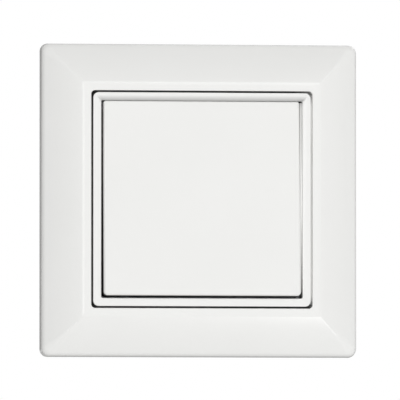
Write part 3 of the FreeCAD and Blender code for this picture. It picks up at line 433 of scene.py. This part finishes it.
def make_brass():
    """Drawn brass strip, with darker spots where the tarnish is above 0.55."""
    material, tree = new_finish("stamped_brass")
    tarnish = noise(tree, size=4, detail=5)
    drawn = noise(tree, size=0.3, detail=2, stretch=(1, 1, 0.1))
    dark = (tarnish - 0.55).clamped() * 3
    colour = blend(tree, dark.clamped(), (0.68, 0.48, 0.20), (0.40, 0.26, 0.11))
    values = {"Base Color": colour, "Metallic": 1.0, "Roughness": 0.26 + tarnish * 0.2}
    close(tree, values, bump=drawn, strength=0.2, depth=0.03)
    return material


def make_silver():
    """Pressed silver, a little duller where it is worn."""
    material, tree = new_finish("contact_silver")
    wear = noise(tree, size=0.6, detail=4)
    colour = blend(tree, wear, (0.80, 0.79, 0.77), (0.90, 0.89, 0.87))
    values = {"Base Color": colour, "Metallic": 1.0, "Roughness": 0.22 + wear * 0.22}
    close(tree, values, bump=wear, strength=0.15, depth=0.03)
    return material


sheet_zinc = make_zinc("sheet_zinc", stretch=(0.06, 1, 1), lines=0.18)
turned_zinc = make_zinc("turned_zinc", stretch=(1, 1, 1), lines=0.06)
stamped_brass = make_brass()
contact_silver = make_silver()
for word in ("left", "right"):
    nodes[f"claw_{word}"].material_slots[0].material = sheet_zinc
    nodes[f"claw_pin_{word}"].material_slots[0].material = turned_zinc
    nodes[f"terminal_screw_{word}"].material_slots[0].material = turned_zinc
    nodes[f"fixed_contact_{word}"].material_slots[0].material = stamped_brass
    nodes[f"terminal_cage_{word}"].material_slots[0].material = stamped_brass
nodes["support_plate"].material_slots[0].material = sheet_zinc
nodes["contact_bridge"].material_slots[0].material = stamped_brass
for name in ("bridge_contact_tips", "fixed_contact_tips"):
    nodes[name].material_slots[0].material = contact_silver
print("metals:", sheet_zinc.name, turned_zinc.name, stamped_brass.name, contact_silver.name)

# %% [markdown]
# ## The cover frame
#
# The real frame is one moulding with the same section all the way round, so it is that section
# carried along a rounded rectangle. The section is a short side wall, a soft edge, a slope that
# bows out on a large radius, a flat rim, and the hollow underside. A point that lies inset from
# the outside runs round a smaller rectangle. What makes the frame look moulded and not folded is
# the corner: each rectangle has its own corner radius. It is about 2 mm from the outside to the
# foot of the slope, so that the mitre starts as a soft bend, and close to zero at the rim, where
# the mitre ends as a crisp line. A bevel on a plain mitre would be the same all along.

# %% A section carried round a rounded rectangle
CORNER_STEPS = 10
CORNER_ANGLE = np.concatenate([
    np.linspace(quarter, quarter + 1, CORNER_STEPS + 1) * math.pi / 2 for quarter in range(4)
])


def arc(centre, radius, first, last, count):
    """Points on an arc: centre plus radius times the cosine and sine of angles in degrees."""
    angle = np.radians(np.linspace(first, last, count))
    return np.stack([centre[0] + radius * np.cos(angle), centre[1] + radius * np.sin(angle)], 1)


def round_rectangle(half_width, half_height, inset, radius):
    """x and z round a rectangle shrunk by the inset.

    At angle t in a corner, the point is the centre of the corner's radius plus the radius times
    the cosine and sine of t. The straight sides are the gaps between the corners.
    """
    side_x = np.repeat([1, -1, -1, 1], CORNER_STEPS + 1)
    side_z = np.repeat([1, 1, -1, -1], CORNER_STEPS + 1)
    x = side_x * (half_width - inset - radius) + radius * np.cos(CORNER_ANGLE)
    z = side_z * (half_height - inset - radius) + radius * np.sin(CORNER_ANGLE)
    return x, z


def carried(section, half_width, half_height):
    """Rows follow the section, of inset, height and corner radius, and columns run round."""
    inset, height, radius = section.T[:, :, None]
    x, z = round_rectangle(half_width, half_height, inset, radius)
    return np.stack([x, -height + 0 * x, z], axis=2)


# %% The frame's section
FRAME_WIDTH, FRAME_HEIGHT = 81.4, 80.1
CREST, SIDE, DRAFT = 9.4, 2.6, 4
EDGE_RADIUS, BOW_RADIUS = 2.0, 60
WALL, HOLLOW_FOOT = 1.8, 2.35
OPENING, RIM, OPENING_EDGE = 56.8, 2.0, 0.25
LEDGE_DEPTH, LEDGE_WIDTH, LEDGE_WALL = 3.0, 1.1, 1.4
OPENING_INSET = (FRAME_WIDTH - OPENING) / 2
RIM_INSET = OPENING_INSET - RIM
SOFT_INSETS = (0, 0.6, 2.0, 5.5, RIM_INSET)
SOFT_CORNERS = (2.0, 2.1, 1.9, 0.7, 0.15)
OPENING_CORNER, UNDER_CORNER = 1.0, 0.5


def upper_outline():
    """The edge and the bow, as points of inset and height.

    The bow touches the edge's circle from inside and passes through the start of the rim. Its
    centre is found from the two distances that this gives: to the edge's centre it is the
    difference of the radii, and to the start of the rim it is the bow's radius.
    """
    draft = math.radians(DRAFT)
    wall_top = np.array([SIDE * math.tan(draft), SIDE])
    edge_centre = wall_top + EDGE_RADIUS * np.array([math.cos(draft), -math.sin(draft)])
    rim_start = np.array([RIM_INSET, CREST])
    span = rim_start - edge_centre
    reach = np.linalg.norm(span)
    inner = BOW_RADIUS - EDGE_RADIUS
    along = (BOW_RADIUS**2 - inner**2 - reach**2) / (2 * reach)
    across = math.sqrt(inner**2 - along**2)
    span /= reach
    bow_centre = edge_centre - span * along + np.array([span[1], -span[0]]) * across
    to_edge = np.degrees(np.arctan2(*(edge_centre - bow_centre)[::-1]))
    to_rim = np.degrees(np.arctan2(*(rim_start - bow_centre)[::-1]))
    edge = arc(edge_centre, EDGE_RADIUS, 180 - DRAFT, to_edge, count=8)
    bow = arc(bow_centre, BOW_RADIUS, to_edge, to_rim, count=30)
    return np.concatenate([edge, bow[1:]])


def frame_section():
    """Inset, height and corner radius of the whole outline, from the outside foot round."""
    upper = upper_outline()
    lip_centre = (OPENING_INSET - OPENING_EDGE, CREST - OPENING_EDGE)
    lip = arc(lip_centre, OPENING_EDGE, 90, 0, count=6)
    under_crest, ledge = CREST - WALL, CREST - LEDGE_DEPTH
    under = np.array([
        (OPENING_INSET, ledge),
        (OPENING_INSET + LEDGE_WIDTH, ledge),
        (OPENING_INSET + LEDGE_WIDTH, ledge - LEDGE_WALL),
        (OPENING_INSET - WALL, ledge - LEDGE_WALL),
        (OPENING_INSET - WALL, under_crest),
        (RIM_INSET, under_crest),
        (WALL, HOLLOW_FOOT),
        (WALL, 0),
        (0, 0),
    ])
    outline = np.concatenate([upper, lip, under])
    opening_end = len(upper) + len(lip) + 1
    radius = np.interp(outline[:, 0], SOFT_INSETS, SOFT_CORNERS)
    radius[len(upper):opening_end] = OPENING_CORNER
    radius[opening_end:] = UNDER_CORNER
    radius[-1] = SOFT_CORNERS[0]
    return np.column_stack([outline, radius])


# %% The frame itself
cover = surface(
    "cover_frame_skin",
    [carried(frame_section(), FRAME_WIDTH / 2, FRAME_HEIGHT / 2)],
    wrap_rows=True,
    wrap_columns=True,
)
dress(cover, "base", gloss_white, stands_for=["cover_frame"])

# %% [markdown]
# ## Ribs behind the slopes
#
# Two ribs behind each slope stiffen the hollow frame. Each is a thin plate that fills the section
# from the side wall to the ledge. They are made apart from the skin and reach half way into its
# walls, because the skin's grid has no row for them and the joint never shows.

# %% Ribs on four sides
RIB, RIB_PLACE, RIB_FOOT = 1.0, 19, 1.2
rib_outline = np.array([
    (WALL / 2, RIB_FOOT),
    (WALL / 2, HOLLOW_FOOT),
    (RIM_INSET, CREST - WALL / 2),
    (OPENING_INSET - WALL / 2, CREST - WALL / 2),
    (OPENING_INSET - WALL / 2, CREST - LEDGE_DEPTH - LEDGE_WALL),
    (OPENING_INSET - WALL, CREST - LEDGE_DEPTH - LEDGE_WALL),
])
rib_grids = []
for quarters, reach in enumerate((FRAME_HEIGHT, FRAME_WIDTH, FRAME_HEIGHT, FRAME_WIDTH)):
    upright = np.column_stack([-rib_outline[:, 1], rib_outline[:, 0] - reach / 2])
    for place in (-RIB_PLACE, RIB_PLACE):
        rib = prism(upright, place - RIB / 2, place + RIB / 2, axis=0)
        rib_grids.append(quarter_turned(rib, quarters))
ribs = surface("cover_frame_ribs", rib_grids, wrap_columns=True, caps=True)
dress(ribs, "base", gloss_white)

# %% [markdown]
# ## The centre ring
#
# The ring is a separate thin moulding that clips into the plate through the frame's opening and
# holds the frame down. Its face is nearly flat and leans a little inwards. The upper bar leans
# more, because the button's top edge lies deeper there and a finger follows it in. One section
# carried round would give four equal bars, so the lean is added to the finished grid, where it
# can grow along the upper corners.

# %% The ring's section, which differs on the upper bar
RING_HALF = (27.9, 27.25)
RING_PROUD, RING_BACK = 0.1, 3.2
RING_FACE, RING_INNER, RING_COLLAR = 0.5, 2.05, 0.9
RING_LEAN, RING_TOP_LEAN, BAR_BOW = 0.25, 1.15, 1.2
RING_CORNER, RING_OUTER, COLLAR_CORNER = 0.4, 1.4, 0.5
RING_EDGE, RING_SHOULDER, RING_NIP = 0.15, 0.18, 0.05
FACE_ROWS, EDGE_ROWS = 8, 4


def ring_grid():
    """The ring's section carried round, with the inner edge set back by its lean.

    At the share s of the way across the face the surface lies deeper by the lean times s to the
    power BAR_BOW, so that it bows over towards the button. The lean grows round the upper corners
    with the squared sine of the angle.
    """
    flange = CREST - LEDGE_DEPTH
    front = CREST + RING_PROUD
    face = np.linspace(RING_FACE, RING_INNER - RING_EDGE, FACE_ROWS)
    face = np.column_stack([face, np.full(FACE_ROWS, front), np.full(FACE_ROWS, RING_CORNER)])
    edge_centre = (RING_INNER - RING_EDGE, front - RING_EDGE)
    edge = arc(edge_centre, RING_EDGE, 90, 0, count=EDGE_ROWS + 1)[1:]
    edge = np.column_stack([edge, np.full(EDGE_ROWS, RING_CORNER)])
    section = np.concatenate([
        [(0, flange, RING_OUTER), (0, front - RING_SHOULDER, RING_OUTER)],
        [(RING_NIP, front - RING_NIP, RING_OUTER), (RING_SHOULDER, front, RING_OUTER)],
        face,
        edge,
        [(RING_INNER, RING_BACK, RING_CORNER)],
        [(RING_COLLAR, RING_BACK, COLLAR_CORNER), (RING_COLLAR, flange, COLLAR_CORNER)],
    ])
    grid = carried(section, *RING_HALF)
    share = np.clip((section[:, 0] - RING_FACE) / (RING_INNER - RING_FACE), 0, 1)
    share[section[:, 1] < front - RING_EDGE - TOLERANCE] = 0
    upwards = np.clip(np.sin(CORNER_ANGLE), 0, 1) ** 2
    lean = RING_LEAN + (RING_TOP_LEAN - RING_LEAN) * upwards
    grid[:, :, 1] += share[:, None] ** BAR_BOW * lean
    return grid


ring = surface("centre_ring_skin", [ring_grid()], wrap_rows=True, wrap_columns=True)
dress(ring, "base", ring_white, stands_for=["centre_ring"])

# %% [markdown]
# ## Hooks and guide ribs
#
# Four springy hooks stand behind the ring's sides, and their barbs snap behind the plate. A hook
# has the same outline over its whole width, so that outline is drawn out. The solid's own hooks
# can't be kept, because they belong to the ring that the new skin stands for.
#
# In the photograph the gaps on the right look shallow and light. Low ribs in an opening, which
# hold what goes in there to one side, would look like that, so each gap there gets a strip that
# fills most of it, with a top that lies deeper at both ends.

# %% Hooks that clip the ring into the plate
HOOK_ROOT, HOOK_FACE, HOOK_BARB = 25.85, 27.1, 27.9
HOOK_START, BARB_FRONT, BARB_FLAT, HOOK_END = -3.4, 0.15, 0.55, 1.4
HOOK_PLACE, HOOK_WIDTH = 12, 5
hook_outline = np.array([
    (HOOK_ROOT, HOOK_START),
    (HOOK_FACE, HOOK_START),
    (HOOK_FACE, BARB_FRONT),
    (HOOK_BARB, BARB_FRONT),
    (HOOK_BARB, BARB_FLAT),
    (HOOK_FACE, HOOK_END),
    (HOOK_ROOT, HOOK_END),
])
hook_grids = []
for place in (HOOK_PLACE, -HOOK_PLACE):
    hook = prism(hook_outline, place - HOOK_WIDTH / 2, place + HOOK_WIDTH / 2, axis=2)
    hook_grids += [hook, quarter_turned(hook, 2)]
hooks = surface("centre_ring_hooks", hook_grids, wrap_columns=True, caps=True)
dress(hooks, "base", gloss_white)

# %% Ribs that keep the ring and the button from the right-hand side of their openings
SIDE_RIB_DEPTH = 2.5
FRAME_RIB_X = (27.95, 28.5)
FRAME_RIB_TOPS = [(-7.4, 26.8), (-8.55, 24.5), (-8.55, -24.5), (-7.4, -26.8)]
RING_RIB_X = (25.34, 25.95)
RING_RIB_TOPS = [(-7.8, 24.8), (-8.8, 2.8), (-8.45, -14.0), (-8.0, -21.0), (-7.0, -23.5)]


def side_rib(left, right, tops):
    """A rib from left to right in x. Its top follows pairs of y and z, and its foot is deeper."""
    y, z = np.asarray(tops, float).T[:, :, None]
    x = np.array([left, right, right, left])
    down = np.array([0, 0, SIDE_RIB_DEPTH, SIDE_RIB_DEPTH])
    return np.stack([x + 0 * y, y + down, z + 0 * x], axis=2)


frame_rib = side_rib(*FRAME_RIB_X, FRAME_RIB_TOPS)
locator = surface("cover_frame_locator", [frame_rib], wrap_columns=True, caps=True)
dress(locator, "base", gloss_white)
ring_rib = side_rib(*RING_RIB_X, RING_RIB_TOPS)
guide = surface("centre_ring_guide", [ring_rib], wrap_columns=True, caps=True)
dress(guide, "base", gloss_white)

# %% [markdown]
# ## The button's upper edge
#
# The solid button has one soft edge all round. On the real one the upper edge is crisp, so that it
# closes up with the ring, and the edge softens round the corners. The whole button could be made
# again, with its ribs and clips, but a thin strip over the solid's upper edge makes the same
# difference. The strip sinks into the solid where the edge is soft again.

# %% A strip over the upper edge of the button
BUTTON_HALF, BUTTON_CORNER, LEAST_CORNER = (25.3, 24.85), 0.8, 0.1
SOFT_EDGE, CRISP_EDGE = 0.8, 0.1
STRIP, STRIP_DEPTH = 1.2, 1.6
PROUD, SUNK = 0.01, -0.02
EDGE_COLUMNS = 8


def edge_strip():
    """Rows go round the upper half of the button, and columns from the face over the edge.

    At angle q from 0 to 90 degrees the inset is the edge's radius times 1 - sin q and the depth
    is that radius times 1 - cos q. Round each corner the radius goes from the soft edge's to the
    crisp one's, and the strip comes out of the solid, with the sine of the corner's own angle.
    """
    upwards = np.clip(np.sin(CORNER_ANGLE), 0, 1)
    edge = SOFT_EDGE + (CRISP_EDGE - SOFT_EDGE) * upwards
    proud = SUNK + (PROUD - SUNK) * upwards
    turn = np.linspace(0, math.pi / 2, EDGE_COLUMNS)[:, None]
    level = np.ones_like(edge)
    outside = [(level * STRIP, level * 0)]
    outside += list(zip(edge * (1 - np.sin(turn)), edge * (1 - np.cos(turn))))
    outside += [(level * 0, level * STRIP_DEPTH)]
    rows = [(inset - proud, depth - proud) for inset, depth in outside]
    rows += [(level * STRIP / 2, level * STRIP_DEPTH), (level * STRIP, level * STRIP / 2)]
    inset, depth = np.moveaxis(np.array(rows), 1, 0)
    corner = np.maximum(BUTTON_CORNER - inset, LEAST_CORNER)
    x, along = round_rectangle(*BUTTON_HALF, inset, corner)
    lean = math.radians(BUTTON_TILT)
    y = -AXIS + along * math.sin(lean) - (FRONT - depth) * math.cos(lean)
    z = along * math.cos(lean) + (FRONT - depth) * math.sin(lean)
    upper_half = 2 * (CORNER_STEPS + 1)
    return np.stack([x, y, z], axis=2).swapaxes(0, 1)[:upper_half]


strip = surface("button_cap_upper_edge", [edge_strip()], wrap_columns=True, caps=True)
dress(strip, "rocker", button_white)

# %% [markdown]
# ## Screws with their threads
#
# The claw screws are cheese-head machine screws. A thread is rolled into the shank, so it is a
# ridge that climbs by one pitch for each turn. A bump could draw it, but its outline would stay
# straight. On the grid the ridge is a wave whose phase depends on the depth less the angle. The
# driver slot is milled, so a box is cut out of the head.

# %% A turned screw
PITCH, THREAD_DEPTH, THREAD_FLANK, THREAD_FLAT = 0.5, 0.27, 1.4, 0.2
HEAD_RADIUS, HEAD_FRONT, HEAD_FOOT = 2.6, 2.95, 1.05
HEAD_EDGE, HEAD_BEVEL, CAP_RADIUS = 0.25, 0.1, 0.3
SHANK_RADIUS, SHANK_END, TIP_BEVEL = 1.5, -11.0, 0.1
SCREW_COLUMNS, ROWS_A_PITCH = 32, 10


def screw_grid(centre):
    """A turned head and shank. The shank's radius falls by the thread's depth between ridges."""
    corner_centre = (HEAD_RADIUS - HEAD_EDGE, HEAD_FRONT - HEAD_EDGE)
    corner = arc(corner_centre, HEAD_EDGE, 90, 0, count=5)
    head = np.concatenate([
        [(CAP_RADIUS, HEAD_FRONT)],
        corner,
        [(HEAD_RADIUS, HEAD_FOOT + HEAD_BEVEL), (HEAD_RADIUS - HEAD_BEVEL, HEAD_FOOT)],
        [(SHANK_RADIUS, HEAD_FOOT)],
    ])
    rows = round((HEAD_FOOT - SHANK_END) / PITCH * ROWS_A_PITCH)
    height = np.linspace(HEAD_FOOT, SHANK_END, rows)[1:]
    shank = np.column_stack([np.full(len(height), SHANK_RADIUS), height])
    tip = [(SHANK_RADIUS - THREAD_DEPTH - TIP_BEVEL, SHANK_END), (CAP_RADIUS, SHANK_END)]
    profile = np.concatenate([head, shank, tip])
    angle = np.arange(SCREW_COLUMNS) / SCREW_COLUMNS
    phase = (-height[:, None] / PITCH - angle) % 1
    groove = np.clip(THREAD_FLANK * np.abs(2 * phase - 1) - THREAD_FLAT, 0, 1)
    fade = np.clip((HEAD_FOOT - height) / PITCH, 0, 1) * (height > SHANK_END + TOLERANCE)
    swell = np.zeros((len(profile), SCREW_COLUMNS))
    swell[len(head):-len(tip)] = -THREAD_DEPTH * groove * fade[:, None]
    swell[-len(tip) - 1] = -THREAD_DEPTH
    return turned(profile, centre, SCREW_COLUMNS, swell)


# %% Slotted claw screws
SLOT_WIDTH, SLOT_DEPTH, SLOT_SPARE = 0.7, 0.9, 0.5
SCREW_X = 28.3


def cut_away(piece, grids):
    """Take boxes out of a piece for good, and keep its crisp edges crisp."""
    cutter = surface(f"{piece.name}_cutter", grids, wrap_columns=True, caps=True)
    cut = piece.modifiers.new("cut", "BOOLEAN")
    cut.operation = "DIFFERENCE"
    cut.solver = "EXACT"
    cut.object = cutter
    view = bpy.context.evaluated_depsgraph_get()
    result = bpy.data.meshes.new_from_object(piece.evaluated_get(view))
    piece.modifiers.clear()
    piece.data = result
    result.set_sharp_from_angle(angle=math.radians(CRISP_ANGLE))
    bpy.data.objects.remove(cutter)


reach, half = HEAD_RADIUS + SLOT_SPARE, SLOT_WIDTH / 2
slot_outline = np.array([(-reach, -half), (reach, -half), (reach, half), (-reach, half)])
slot_front, slot_back = -HEAD_FRONT - SLOT_SPARE, SLOT_DEPTH - HEAD_FRONT
for word, side in (("left", -1), ("right", 1)):
    centre = (side * SCREW_X, 0)
    grids = [screw_grid(centre)]
    screw = surface(f"claw_screw_{word}_threaded", grids, wrap_columns=True, caps=True)
    cut_away(screw, [prism(slot_outline + centre, slot_front, slot_back, axis=1)])
    dress(screw, f"claw_screw_{word}", turned_zinc, stands_for=[f"claw_screw_{word}"])

# %% [markdown]
# ## Rolled rivets
#
# Plate, lid and housing are held together by four tubular rivets. The press rolls the tube's end
# outwards, which leaves a round lip behind and an open bore. A tube is a turned part, so its
# closed outline goes once round, and the bore needs no cut.

# %% Tubular rivets
RIVET_BORE, RIVET_SHANK, RIVET_HEAD, RIVET_LIP = 0.75, 1.2, 2.1, 0.25
RIVET_FRONT, RIVET_REAR = 1.5, -21.5
RIVET_EDGE, ROLLED_EDGE = 0.2, 0.35
RIVET_X, RIVET_Z = 16.2, 12.5
RIVET_COLUMNS = 32


def rivet_profile():
    """Closed outline of the tube: bore, front head, shank, and the lip rolled behind."""
    bore, lip, front, rear = RIVET_BORE, RIVET_LIP, RIVET_FRONT, RIVET_REAR
    return np.concatenate([
        arc((bore + RIVET_EDGE, front - RIVET_EDGE), RIVET_EDGE, 180, 90, count=4),
        arc((RIVET_HEAD - lip, front - lip), lip, 90, -90, count=7),
        [(RIVET_SHANK, front - 2 * lip), (RIVET_SHANK, rear + 2 * lip)],
        arc((RIVET_HEAD - lip, rear + lip), lip, 90, -90, count=7),
        arc((bore + ROLLED_EDGE, rear + ROLLED_EDGE), ROLLED_EDGE, 270, 180, count=5),
    ])


spots = [(x, z) for x in (-RIVET_X, RIVET_X) for z in (-RIVET_Z, RIVET_Z)]
tubes = [turned(rivet_profile(), spot, RIVET_COLUMNS) for spot in spots]
rivets = surface("plate_rivets_rolled", tubes, wrap_rows=True, wrap_columns=True)
dress(rivets, "base", turned_zinc, stands_for=["plate_rivets"])

# %% [markdown]
# ## Springs
#
# Both springs are wound from round steel wire, and their end turns lie close, so that they stand
# square. A curve with a round bevel could draw them, but its ends would need caps. They shorten
# when the button is pressed.

# %% Coil springs
SPRING_RADIUS, WIRE_RADIUS = 1.55, 0.22
WIRE_SIDES, STEPS_A_TURN = 12, 36


def coil_grid(front, back, turns, centre):
    """Rows run along the wire and columns round it.

    At angle t the wire's middle lies at the radius times the cosine and sine of t. Its depth
    grows by one wire thickness a turn in the first and the last turn, and evenly in between.
    """
    angle = np.linspace(0, turns * 2 * math.pi, round(turns * STEPS_A_TURN))
    turn = angle / (2 * math.pi)
    closed = (turn < 1) | (turn > turns - 1)
    length = back - front - 2 * WIRE_RADIUS
    rise = np.where(closed, 2 * WIRE_RADIUS, (length - 4 * WIRE_RADIUS) / (turns - 2))
    depth = front + WIRE_RADIUS + np.cumsum(rise) / rise.sum() * length
    around = np.arange(WIRE_SIDES) * 2 * math.pi / WIRE_SIDES
    out = SPRING_RADIUS + WIRE_RADIUS * np.cos(around)[None, :]
    x = centre[0] + out * np.cos(angle)[:, None]
    z = centre[1] + out * np.sin(angle)[:, None]
    y = depth[:, None] + WIRE_RADIUS * np.sin(around)[None, :] + 0 * x
    return np.stack([x, y, z], axis=2)


# Each row: name, front, back, turns, body, the end that stays put on that body, and the share
# of the length that is left when the plunger is all the way in.
springs = (
    ("return_spring", 10.2, 19.35, 6.5, "base", 19.35, 0.849),
    ("contact_spring", 6.05, 8.45, 3.5, "plunger", 6.05, 0.82),
)
for name, front, back, turns, body, anchor, keep in springs:
    grid = coil_grid(front, back, turns, (0, -12))
    spring = surface(f"{name}_wire", [grid], wrap_columns=True, caps=True)
    dress(spring, body, turned_zinc, stands_for=[name])
    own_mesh(spring)

# %% [markdown]
# ## The light
#
# A catalogue photograph of white plastic is taken in a tent of white cloth, with more light from
# the upper right. Four soft lamps and a pale world do the same here. A picture of a studio could
# light it too, but lamps are easier to set one by one. They add up to a plain level, at which a
# colour comes out about as it is written.

# %% Lamps
def soft_lamp(name, place, size, level):
    """A square lamp that faces the switch from a place in metres.

    level is the brightness that it alone gives to a pure white face turned towards it. A lamp's
    power spreads over pi times the square of its distance, and a matt face returns light over
    another pi, so the power is level times pi squared times the distance squared.
    """
    lamp = bpy.data.lights.new(name, "AREA")
    holder = bpy.data.objects.new(name, lamp)
    bpy.context.scene.collection.objects.link(holder)
    holder.location = place
    holder.rotation_euler = (-holder.location).to_track_quat("-Z", "Y").to_euler()
    lamp.size = size
    lamp.energy = level * math.pi**2 * holder.location.length_squared
    print(f"{name}: {lamp.energy:.2f} W")


soft_lamp("key", (0.36, -0.95, 0.70), 0.6, 0.318)
soft_lamp("low_fill", (0.34, -0.85, -0.8), 0.2, 0.256)
soft_lamp("front_fill", (-0.75, -1.4, 0.1), 0.7, 0.255)
soft_lamp("back_fill", (0.5, 0.9, 1.1), 0.8, 0.45)

# %% [markdown]
# ## The backdrop
#
# The real backdrop is a white cloth that burns out to pure white. Here the world is pure white to
# the camera and to reflections, but lights the switch only as strongly as AMBIENT says, or the
# lamps would count for nothing. The floor is mostly that white too, and for the rest a matt grey
# that takes the object's shadow. It gives no light of its own.

# %% World and floor
AMBIENT = 0.39
FLOOR_LEVEL, FLOOR_REACH = -0.13, 3
FLOOR_SHADE, FLOOR_WHITE = 0.65, 0.8


def white_to_the_eye(tree):
    """1 for rays from the camera, a reflection or a refraction, and 0 for light."""
    path = tree.node("ShaderNodeLightPath")
    seen = path["Is Camera Ray"] + path["Is Glossy Ray"] + path["Is Transmission Ray"]
    return seen.clamped()


def matt(tree, shade):
    """A plain matt grey."""
    return tree.node("ShaderNodeBsdfDiffuse", None, {"Color": (shade, shade, shade, 1)})["BSDF"]


def flat_sheet(name, finish, low, high):
    """A sheet from one corner to the other, in metres, with two edges along the X axis."""
    (x0, y0, z0), (x1, y1, z1) = low, high
    corners = np.array([[(x0, y0, z0), (x0, y1, z1)], [(x1, y0, z0), (x1, y1, z1)]])
    sheet = surface(name, [corners / MM])
    sheet.data.materials.append(finish)
    return sheet


world = bpy.data.worlds.new("tent")
bpy.context.scene.world = world
sky = Tree(world)
level = AMBIENT + white_to_the_eye(sky) * (1 - AMBIENT)
glow = sky.node("ShaderNodeBackground", None, {"Color": (1, 1, 1, 1), "Strength": level})
sky.node("ShaderNodeOutputWorld", None, {"Surface": glow["Background"]})

pale_floor, tree = new_finish("pale_floor")
bright = tree.node("ShaderNodeEmission", None, {"Color": (1, 1, 1, 1), "Strength": 1.0})
white_share = white_to_the_eye(tree) * FLOOR_WHITE
values = {0: white_share, 1: matt(tree, FLOOR_SHADE), 2: bright["Emission"]}
both = tree.node("ShaderNodeMixShader", None, values)
tree.node("ShaderNodeOutputMaterial", None, {"Surface": both["Shader"]})

floor_low = (-FLOOR_REACH, -FLOOR_REACH, FLOOR_LEVEL)
floor_high = (FLOOR_REACH, FLOOR_REACH, FLOOR_LEVEL)
floor = flat_sheet("floor", pale_floor, floor_low, floor_high)
floor.visible_shadow = False

# %% [markdown]
# ## Grey cards
#
# A photographer of white on white stands grey cards behind the object, just outside the picture.
# Glancing reflections at the rounded edges show them as thin dark lines, without which the
# outline would be lost. Dark lines could be painted on the edges, but they wouldn't move with the
# viewer as reflections do. The camera sees none of the cards. Three count for reflections only,
# and the dark one also keeps a little light off the side it stands on, as a real card does.

# %% Cards behind, which draw the edges of a white object on white
def card(name, shade, low, high):
    """A grey card that the camera doesn't see."""
    grey, tree = new_finish(name)
    tree.node("ShaderNodeOutputMaterial", None, {"Surface": matt(tree, shade)})
    piece = flat_sheet(name, grey, low, high)
    piece.visible_camera = False
    return piece


card("dark_card", 0.03, (-0.75, 1.2, -0.4), (-0.2, 1.2, 0.4))
for piece in (
    card("upper_card", 0.15, (-0.2, 0.9, 0.15), (0.45, 0.3, 1.0)),
    card("lower_card", 0.2, (-0.2, 0.02, -0.12), (0.4, 0.7, -0.12)),
    card("right_card", 0.2, (0.3, 0.9, -0.15), (1.2, 0.9, 0.25)),
):
    piece.visible_shadow = False
    piece.visible_diffuse = False

# %% [markdown]
# ## The camera
#
# The photograph was taken from well away, a little to the left and a little below. A long lens
# from there keeps the edges almost parallel. The small shift puts the switch where it stands in
# the picture without turning the camera, which would change the slant of its edges.

# %% Camera
DISTANCE = 2.5
AZIMUTH, ELEVATION = -6.9, -2.4
PIXELS_PER_METRE, PICTURE = 3908, 400
SHIFT_X, SHIFT_Y = 2.28, 0.94
SENSOR = 36

camera_data = bpy.data.cameras.new("camera")
camera = bpy.data.objects.new("camera", camera_data)
bpy.context.scene.collection.objects.link(camera)
bpy.context.scene.camera = camera
around, up = math.radians(AZIMUTH), math.radians(ELEVATION)
camera.location = (
    DISTANCE * math.sin(around) * math.cos(up),
    -DISTANCE * math.cos(around) * math.cos(up),
    DISTANCE * math.sin(up),
)
camera.rotation_euler = (-camera.location).to_track_quat("-Z", "Y").to_euler()
camera_data.sensor_width = SENSOR
camera_data.lens = SENSOR * DISTANCE * PIXELS_PER_METRE / PICTURE
camera_data.shift_x = SHIFT_X / PICTURE
camera_data.shift_y = SHIFT_Y / PICTURE
bpy.context.scene.view_settings.view_transform = "Standard"
print(f"camera: {camera_data.lens:.0f} mm lens, {DISTANCE} m away")
